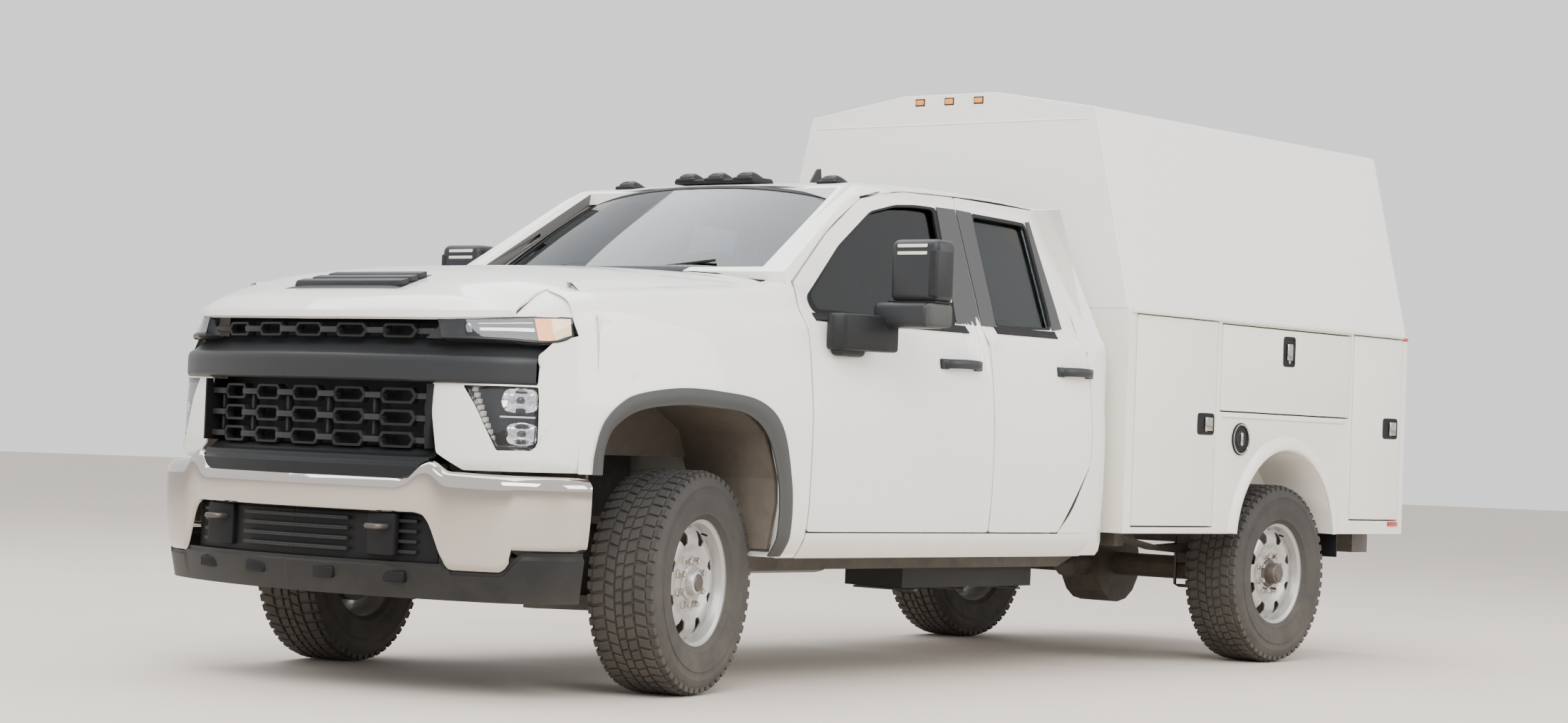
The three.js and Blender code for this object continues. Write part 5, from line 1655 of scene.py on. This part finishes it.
@dataclass
class Bumper:
    """Chrome bar, black insert, tow hooks and the dam below."""

    plan: Path = Path([(0, -1105), (200, -1095), (400, -1066), (600, -1018),
                       (780, -957), (900, -896), (975, -822), (1018, -740),
                       (1034, -660), (1034, -598)])
    foot: Curve = Curve([(0, 640), (560, 640), (600, 632), (625, 606), (680, 484),
                         (700, 456), (715, 450), (880, 450), (900, 458), (935, 508),
                         (960, 526), (2000, 530)])
    crest: Curve = Curve([(0, 770), (500, 770), (540, 782), (592, 824), (625, 832),
                          (700, 796), (900, 790), (2000, 786)])

    def spot(self, share: float, z: float, back: float) -> Vector:
        """A point of the bar; share runs from the middle to the end, back counts inwards."""
        p, q = self.plan(max(share - 0.004, 0)), self.plan(min(share + 0.004, 1))
        here, way = self.plan(share), q - p
        inward = np.array([-way[1], way[0]]) / (np.linalg.norm(way) + 1e-9)
        x, y = here + inward * back
        return at(x if share > 1e-4 else 0, y, z)

    def bar(self) -> Mesh:
        """The chrome skin of the left half."""
        def where(u: float, v: float) -> Vector:
            x = self.plan(u)[0]
            run = x if u < 0.75 else 960 + (u - 0.75) * 300
            low, high = self.foot(run), self.crest(run)
            if v > 0.86:
                t = (v - 0.86) / 0.14
                return self.spot(u, high - 3 + 3 * math.sin(t * math.pi / 2), 26 + 44 * t)
            if v > 0.72:
                t = (v - 0.72) / 0.14
                return self.spot(u, mix(high - 34, high - 3, t), 2 + 24 * t ** 1.3)
            t = v / 0.72
            z = mix(low, high - 34, t)
            back = 2 + 16 * (1 - t) ** 2.2 + (14 * (1 - t / 0.08) ** 2 if t < 0.08 else 0)
            return self.spot(u, z, back)
        return facing(sheet(150, 30, where), (0, -1, 0))

    def band(self, share: float, z0: float, z1: float, back: float, lean: float = 0,
             steps: int = 60) -> Mesh:
        """A skin of the left half between two heights, up to a share of the run."""
        return facing(sheet(steps, 8, lambda u, v: self.spot(u * share, mix(z0, z1, v),
                                                             back + lean * (1 - v))),
                      (0, -1, 0))

    def build(self) -> None:
        """Makes the bumper's pieces."""
        whole = self.bar()
        poured(flipped(whole), whole)
        bmesh.ops.remove_doubles(whole, verts=whole.verts, dist=2e-4)
        Build().add(whole, CHROME).finish("bumper_bar", "truck", wall=4, soft=1.2, replaces=["front_bumper"])
        insert = Build().add(self.band(0.52, 452, 650, 62), SEAL, both=True)
        insert.finish("bumper_insert", "truck", wall=6, replaces=["lower_valance"])
        slats = Build()
        for k in range(4):
            z = 500 + 36 * k
            slats.add(self.band(0.22, z, z + 13, 40), TRIM, both=True)
            vent = sheet(14, 2, lambda u, v, z=z: self.spot(mix(0.345, 0.455, u), mix(z, z + 12, v), 42))
            slats.add(facing(vent, (0, -1, 0)), TRIM, both=True)
        slats.finish("bumper_slats", "truck", wall=16, soft=2.5)
        hooks = Build()
        for x in (-425, 425):
            hooks.add(pipe([(x - 34, -1000, 592), (x - 34, -1052, 592), (x - 22, -1072, 592),
                            (x + 22, -1072, 592),
                            (x + 34, -1052, 592), (x + 34, -1000, 592)], 10, 12, 30), DARK_STEEL)
            hooks.add(block((x - 70, -1030, 490), (x + 70, -1000, 640), 8), SEAL)
        hooks.finish("tow_hooks", "truck")
        dam = Build()
        dam.skin(110, 14, lambda u, v: self.spot(
            u, mix(345, self.foot(self.plan(u)[0]) - 3 if self.plan(u)[0] > 716 else 470, v),
            24 + 22 * (1 - v) + (10 if v > 0.9 else 0)), (0, -1, 0), TRIM, both=True)
        dam.finish("lower_dam", "truck", wall=8, soft=2.5)
        pads = Build()
        for x in (-520, -190, 190, 520):
            share = abs(x) / 1330
            p = self.spot(share, 420, 30) * 1000
            pads.add(block((math.copysign(p.x, x) - 52, p.y - AXLE_Y - 7, 400),
                           (math.copysign(p.x, x) + 52, p.y - AXLE_Y + 26, 440), 9, 3), SEAL)
        pads.finish("dam_pads", "truck")


@dataclass
class Mirrors:
    """Door mirrors on their arms."""

    def build(self) -> None:
        """Makes the left mirror and its twin."""
        shell = Build()
        shell.add(block((1120, 928, 1496), (1349, 1058, 1737), 30, 5), SATIN)
        shell.add(block((1306, 926.5, 1512), (1349.5, 1040, 1700), 12, 3), TRIM)
        shell.add(block((1060, 904, 1396), (1322, 1050, 1493), 24, 4), SATIN)
        shell.add(block((1300, 912, 1400), (1349, 1046, 1490), 16, 3), FLARE)
        shell.add(block((1112, 936, 1490), (1340, 1040, 1500), 3), SEAL)
        foot = prism([(1000, 700), (1040, 690), (1080, 720), (1128, 905), (1128, 1000), (1050, 1008),
                      (1004, 900)],
                     "z", 1300, 1440, 14, 3)
        shell.add(foot, TRIM)
        shell.add(block((1006, 716, 1276), (1066, 880, 1420), 22, 4), TRIM)
        for z in (1676, 1704):
            shell.add(block((1156, 926, z), (1300, 944, z + 14), 4, 2), STRIP)
        shell.add(block((1146, 1052, 1566), (1330, 1061, 1716), 12, 3), REFLECTOR)
        shell.add(block((1146, 1052, 1500), (1330, 1061, 1556), 10, 3), REFLECTOR)
        shell.pair("mirror_shell", "front_cab_door", replaces=["mirror"])


@dataclass
class RoofLights:
    """Marker lamps across the roof and the aerial fin."""

    def lamp(self, x: float, y: float, z: float) -> Build:
        """One smoked marker lamp on its pad."""
        build = Build()
        build.add(block((x - 52, y - 66, z - 12), (x + 52, y + 78, z + 12), 9, 3), SEAL)
        dome = sheet(20, 14, lambda u, v: at(
            x + (2 * u - 1) * 44, y + mix(-58, 64, v),
            z + 10 + 26 * (1 - (2 * u - 1) ** 4) * math.sin(math.pi * min(1, v * 1.25 + 0.05) ** 0.8) ** 0.7
            if 0 < v < 1 and 0 < u < 1 else z + 8))
        build.add(facing(dome, (0, 0, 1)), LAMP_BODY)
        build.add(block((x - 30, y - 60, z + 10), (x + 30, y - 30, z + 24), 6, 2), APPLIQUE)
        return build

    def build(self) -> None:
        """Makes the five lamps and the fin."""
        row = Build().add(block((-216, 1158, 1996), (216, 1296, 2014), 8, 3), SEAL)
        for x in (-158, 0, 158):
            row.shapes += self.lamp(x, 1221, 2010).shapes
        row.finish("roof_lamp_row", "truck")
        for side, x in (("left", 554), ("right", -554)):
            self.lamp(x, 1282, 1992).finish(f"{side}_roof_lamp", "truck")
        fin = Build()
        fin.add(prism([(1720, 2026), (1790, 2050), (1838, 2118), (1858, 2122), (1868, 2050), (1900, 2026)],
                      "x",
                      -9, 9, 5, 3), TRIM)
        fin.add(block((-34, 1712, 2022), (34, 1912, 2046), 10, 3), TRIM)
        fin.finish("aerial_fin", "truck")


# ---- service body -------------------------------------------------------------------------------


@dataclass
class ServiceBody:
    """Enclosed service body: sides, lockers, latches, rails, topper, rear doors and step."""

    front: float = 2768.0
    rear: float = 5250.0
    half: float = 1019.0
    axle: float = 4128.0
    arch_z: float = 548.0  # middle of the rear arch
    arch_turn: float = 83.5  # degrees from its top to each foot
    lamps: tuple[int, ...] = (-165, 0, 165)
    lockers: dict[str, tuple[float, float, float, float]] = field(default_factory=lambda: {
        "front": (2834, 3490, 633, 1553), "middle": (3534, 4688, 1156, 1545),
        "rear": (4729, 5200, 670, 1553)})

    def panel(self, name: str) -> Build:
        """A locker door: flat panel with rolled edges."""
        y0, y1, z0, z1 = self.lockers[name]
        build = Build().add(block((self.half - 24, y0, z0), (self.half + 1.5, y1, z1), 4, 3), BODY_PAINT)
        build.add(block((self.half - 60, y0 + 40, z0 + 40), (self.half - 24.3, y1 - 40, z1 - 40), 6, 2),
                  BODY_PAINT)
        return build

    def latch(self, y0: float, y1: float, z0: float, z1: float, upright: bool) -> Build:
        """A recessed paddle latch."""
        x = self.half + 1.5
        build = Build()
        outer = loop([(y0, z0), (y1, z0), (y1, z1), (y0, z1)], 20, 8)
        inner = loop([(y0 + 12, z0 + 12), (y1 - 12, z0 + 12), (y1 - 12, z1 - 12), (y0 + 12, z1 - 12)], 14, 8)
        rim = ring(outer, inner, 3, lambda y, z: at(x + 3, y, z))
        build.add(facing(rim, (1, 0, 0)), SEAL)
        count = len(outer)
        edge = sheet(count, 2, lambda u, v: at(mix(x - 1, x + 3, v), *outer[int(round(u * count)) % count]),
                     closed=True)
        build.add(edge, SEAL)
        build.add(block((x - 1, y0 + 10, z0 + 10), (x + 0.5, y1 - 10, z1 - 10)), SEAL)
        if upright:
            paddle = block((x + 0.5, mix(y0, y1, 0.3), z0 + 30), (x + 9, mix(y0, y1, 0.72), z1 - 34), 5, 3)
        else:
            paddle = block((x + 0.5, mix(y0, y1, 0.44), z0 + 18), (x + 9, mix(y0, y1, 0.86), z1 - 18), 5, 3)
        build.add(paddle, CHROME)
        build.add(lathe([(0, 0.1), (0, 8), (5, 8), (6, 5), (6, 0.1)], (x + 0.5, mix(y0, y1, 0.5), z0 + 22),
                        steps=16), CHROME)
        return build

    def sides(self) -> None:
        """The body's shell, arch lips, rails, filler and marker lamps."""
        shell = Build().add(copied("service_body"), BODY_PAINT)
        shell.finish("body_shell", "truck", soft=3, replaces=["service_body"])
        trim = Build()
        trim.add(prism([(self.half, 1556), (self.half + 16, 1558), (self.half + 19, 1570),
                        (self.half + 14, 1574),
                        (self.half + 12, 1564), (self.half, 1572)], "y", 2790, 5190, 1.5),
                 BODY_PAINT, both=True)
        trim.add(prism([(self.half, 1124), (self.half + 9, 1127), (self.half + 9, 1137), (self.half, 1141)],
                       "y",
                       3549, 4652, 2), BODY_PAINT, both=True)
        trim.finish("drip_rails", "truck")
        lip = Build()
        radii = Path([(0, 441), (6, 438), (15, 446), (17, 462), (10, 486), (0.5, 505)])

        def where(u: float, v: float) -> Vector:
            turn = mix(-1.0, 1.0, u) * math.radians(self.arch_turn)
            out, r = radii(v)
            return at(self.half + out, self.axle + r * math.sin(turn), self.arch_z + r * math.cos(turn))

        lip.skin(72, 12, where, (1, 0, 0), BODY_PAINT)
        lip.pair("arch_lip", "truck", wall=3, soft=1)
        cup = Build()
        filler = (self.half + 1, 3709, 1030)
        ringed = [(0, 74), (6, 74), (8, 70), (7, 62), (1.5, 58), (1, 0.1)]
        cup.add(lathe(ringed, filler, steps=48), SEAL)
        cup.add(lathe([(5, 71), (9, 70), (9.5, 66), (7, 63)], filler, steps=48), CHROME)
        cup.add(lathe([(1.2, 40), (4, 38), (6, 30), (5, 0.1)], filler, steps=36), TRIM)
        cup.add(block((self.half + 3, 3700, 1000), (self.half + 14, 3718, 1060), 5, 3), CHROME)
        cup.finish("fuel_filler", "truck")
        marks = Build()
        marks.add(block((self.half - 1, 5101, 637), (self.half + 8, 5196, 661), 4, 2), RED, both=True)
        marks.add(block((self.half - 6, 5206, 1548), (self.half + 6, 5248, 1566), 4, 2), RED, both=True)
        marks.finish("side_markers", "truck")
        flap = Build().add(block((904, 4640, 488), (1004, 4650, 640), 3), SEAL, both=True)
        flap.finish("mud_flaps", "truck")

    def topper(self) -> None:
        """The high cover with its marker lamps and seams."""
        cover = Build().add(copied("topper"), TOPPER_PAINT)
        cover.finish("topper_cover", "truck", soft=5, segments=3, replaces=["topper"])
        trim = Build()
        for x in self.lamps:
            trim.add(block((x - 22, self.front - 5, 2499), (x + 22, self.front + 2, 2523), 4, 2), AMBER)
            trim.add(block((x - 27, self.front - 2, 2494), (x + 27, self.front + 1, 2528), 4, 2), SEAL)
        for x in self.lamps:
            trim.add(block((x - 26, self.rear - 1, 2440), (x + 26, self.rear + 6, 2466), 4, 2), RED)
        trim.finish("topper_lamps", "truck")
        seams = Build()
        fold = prism([(self.front - 4, 2408), (self.front + 1, 2404), (self.front + 1, 2414)], "x", -770,
                     770, 1)
        seams.add(fold, TOPPER_PAINT)
        foot_z, foot_x, slope = 1573, 1010, 212 / 887
        for y in (3390, 4010, 4630):
            for k in range(26):
                z = 1620 + k * 32
                head = lathe([(0, 0.1), (0, 5), (1.6, 4), (2.2, 0.1)], (foot_x - (z - foot_z) * slope, y, z),
                             (0.97, 0, 0.23), 8)
                seams.add(head, TOPPER_PAINT, both=True)
        seams.finish("topper_seams", "truck")

    def back(self) -> None:
        """Rear doors' hardware, lamps and step."""
        for side in ("left", "right"):
            body = f"{side}_tail"
            sign = 1 if side == "left" else -1
            door = Build().add(copied(f"{side}_tail_door"), BODY_PAINT)
            door.finish(f"{side}_tail_skin", body, soft=3, replaces=[f"{side}_tail_door"])
            trim = Build()
            outer = loop([(90, 1640), (510, 1640), (510, 2200), (90, 2200)], 24, 8)
            inner = loop([(112, 1662), (488, 1662), (488, 2178), (112, 2178)], 16, 8)
            frame_band = facing(ring(outer, inner, 3, lambda x, z: at(sign * x, self.rear + 2, z)), (0, 1, 0))
            trim.add(frame_band, SEAL)
            trim.finish(f"{side}_tail_seal", body, wall=3, soft=1)
            gear = Build()
            for z in (900, 1560, 2230):
                gear.add(lathe([(-60, 0.1), (-60, 9), (60, 9), (60, 0.1)], (sign * 601, self.rear + 14, z),
                               (0, 0, 1), 16), DARK_STEEL)
                gear.add(block((sign * 570 - 30, self.rear, z - 40),
                               (sign * 570 + 30, self.rear + 5, z + 40), 2),
                         CHROME)
            if side == "left":
                gear.add(block((20, self.rear, 1240), (110, self.rear + 6, 1400), 6), SEAL)
                gear.add(block((45, self.rear + 6, 1270), (80, self.rear + 18, 1370), 6), CHROME)
            gear.finish(f"{side}_tail_gear", body)
        lamps = Build()
        lamps.add(block((700, self.rear - 1, 930), (930, self.rear + 10, 1010), 8, 3), RED, both=True)
        lamps.add(block((700, self.rear - 1, 1020), (930, self.rear + 10, 1080), 8, 3), PALE_AMBER, both=True)
        lamps.add(block((690, self.rear - 1, 920), (940, self.rear + 4, 1090), 8, 3), SEAL, both=True)
        lamps.finish("tail_lamps", "truck")
        step = Build().add(copied("rear_step"), CHASSIS)
        for k in range(9):
            x = (k - 4) * 170
            step.add(block((x - 60, 5150, 590), (x + 60, 5250, 592.5), 1), CHASSIS)
        step.finish("step_bumper", "truck", soft=3, replaces=["rear_step"])

    def build(self) -> None:
        """Makes the service body."""
        self.sides()
        self.topper()
        self.back()
        for name in self.lockers:
            self.panel(name).pair(f"{name}_locker_skin", f"{name}_locker", replaces=[f"{name}_locker_door"])
        self.latch(3338, 3476, 1042, 1140, False).pair("front_latch", "front_locker")
        self.latch(5024, 5167, 1064, 1165, False).pair("rear_latch", "rear_locker")
        self.latch(4061, 4168, 1376, 1517, True).pair("middle_latch", "middle_locker")
        dress(SIDE_GLASS, "left_tail_door_glass", "right_tail_door_glass")


# ---- cabin and underside ------------------------------------------------------------------------


@dataclass
class Cabin:
    """Seats, dashboard and steering wheel."""

    driver: float = 480.0
    wheel_tilt: float = 66.0

    def cushion(self, name: str, lo: Sequence[float], hi: Sequence[float], lean: float = 0,
                fullness: float = 0.42, replaces: Sequence[str] = (), channels: int = 2) -> None:
        """A crowned pad between two corners, with sewn channels.

        Args:
            name: the piece's name.
            lo: lowest corner, in mm.
            hi: highest corner, in mm.
            lean: degrees that it leans back about its foot.
            fullness: how round it is, from 0 to 1.
            replaces: CAD nodes that it stands for.
            channels: sewn channels across its width.
        """
        mesh = bmesh.new()
        bmesh.ops.create_cube(mesh, size=2)
        bmesh.ops.subdivide_edges(mesh, edges=mesh.edges, cuts=9, use_grid_fill=True)
        size = [(b - a) / 2 for a, b in zip(lo, hi)]
        mid = [(a + b) / 2 for a, b in zip(lo, hi)]
        for vert in mesh.verts:
            x, y, z = vert.co
            ball = Vector((x * math.sqrt(max(0, 1 - y * y / 2 - z * z / 2 + y * y * z * z / 3)),
                           y * math.sqrt(max(0, 1 - z * z / 2 - x * x / 2 + z * z * x * x / 3)),
                           z * math.sqrt(max(0, 1 - x * x / 2 - y * y / 2 + x * x * y * y / 3))))
            soft = vert.co.lerp(ball, fullness)
            if channels:
                sewn = min(abs(abs(x) - 0.55), 0.12) / 0.12
                soft *= mix(0.94, 1, sewn)
            vert.co = at(mid[0] + soft.x * size[0], mid[1] + soft.y * size[1], mid[2] + soft.z * size[2])
        build = Build().add(mesh, SEAT_CLOTH).turned((mid[0], lo[1], lo[2]), -lean, (1, 0, 0))
        thing = build.finish(name, "truck", replaces=replaces, smooth=80, levels=1)

    def wheel(self) -> None:
        """The steering wheel."""
        centre = (self.driver, 1010, 1390)
        build = Build()
        section = [(15 * math.sin(a), 180 + 15 * math.cos(a)) for a in np.linspace(0, 2 * math.pi, 13)]
        build.add(lathe(section, centre, (0, 0, 1), 48), CABIN)
        build.add(lathe([(-30, 0.1), (-30, 52), (0, 62), (12, 50), (16, 0.1)], centre, (0, 0, 1), 32), CABIN)
        build.add(block((centre[0] - 172, centre[1] - 22, centre[2] - 10),
                        (centre[0] + 172, centre[1] + 22, centre[2] + 4), 6, 3), CABIN)
        build.turned(centre, self.wheel_tilt - 180, (1, 0, 0)).finish("steering_rim", "truck",
                                                                      replaces=["steering_wheel"])

    def build(self) -> None:
        """Makes the cabin."""
        for side, x in (("left", self.driver), ("right", -self.driver)):
            self.cushion(f"{side}_seat_base", (x - 250, 1120, 860), (x + 250, 1620, 985), 3,
                         replaces=[f"{side}_seat"])
            self.cushion(f"{side}_seat_back", (x - 245, 1600, 955), (x + 245, 1710, 1560), 8)
            self.cushion(f"{side}_headrest", (x - 130, 1665, 1590), (x + 130, 1760, 1760), 6, 0.5, channels=0)
            stand = Build().add(block((x - 200, 1160, 620), (x + 200, 1600, 862), 20, 3), CABIN)
            stand.add(pipe([(x - 60, 1700, 1540), (x - 60, 1712, 1620)], 6, 8, 4), CHROME)
            stand.add(pipe([(x + 60, 1700, 1540), (x + 60, 1712, 1620)], 6, 8, 4), CHROME)
            stand.finish(f"{side}_seat_stand", "truck")
        self.cushion("bench_base", (-680, 1960, 830), (680, 2440, 960), 3, replaces=["rear_bench"])
        self.cushion("bench_back", (-680, 2420, 930), (680, 2530, 1540), 5)
        Build().add(block((-660, 1990, 620), (660, 2440, 832), 20, 3), CABIN).finish("bench_stand", "truck")
        self.wheel()
        dress(CABIN, "dashboard")
        binnacle = Build().add(block((self.driver - 190, 880, 1400), (self.driver + 190, 990, 1520), 40, 4),
                               CABIN)
        binnacle.add(block((-130, 890, 1180), (130, 950, 1430), 20, 3), LAMP_BODY)
        binnacle.finish("instrument_hood", "truck")


@dataclass
class Underside:
    """Finishes of the chassis, and the small parts that show below the body."""

    def build(self) -> None:
        """Dresses the chassis and adds its brackets, clamps and lines."""
        dress(CHASSIS, "frame", "engine", "driveline", "front_suspension", "rear_axle", "left_knuckle",
              "right_knuckle")
        dress(EXHAUST, "exhaust")
        dress(TANK, "fuel_tank")
        gear = Build()
        for side in (-1, 1):
            for y in (3430, 4850):
                gear.add(block((side * 522 - 45, y - 40, 520), (side * 522 + 45, y + 40, 640), 8), CHASSIS)
            for y in (4060, 4196):
                gear.add(pipe([(side * 472, y, 560), (side * 472, y, 330), (side * 572, y, 330),
                               (side * 572, y, 560)],
                              8, 8, 20, rounded=False), DARK_STEEL)
            gear.add(lathe([(-190, 0.1), (-190, 24), (60, 24), (64, 30), (190, 30), (190, 0.1)],
                           (side * 610, 4240, 600), (0.1, 0.25, 1), 16), DARK_STEEL)
            gear.add(lathe([(-170, 0.1), (-170, 24), (40, 24), (44, 31), (150, 31), (150, 0.1)],
                           (side * 520, 90, 560), (0.1 * side, 0, 1), 16), DARK_STEEL)
        for y in (2120, 2480, 2880):
            gear.add(block((60, y, 320), (392, y + 30, 330), 2), DARK_STEEL)
        gear.add(pipe([(400, 500, 520), (472, 900, 500), (472, 2600, 500), (472, 3400, 620)], 5, 8, 60),
                 DARK_STEEL)
        gear.finish("chassis_gear", "truck")


def main() -> None:
    """Builds every sub-assembly in turn."""
    logging.basicConfig(level=logging.INFO, format="%(message)s")
    parts = [Studio(), *DOORS, Cab(), FrontClip(), Grille(), Headlamps(), Bumper(), Mirrors(), RoofLights(),
             ServiceBody(), Cabin(), Underside(), *WHEELS]
    for part in parts:
        part.build()
        LOG.info("built %s", getattr(part, "name", type(part).__name__))


if __name__ == "__main__":
    main()
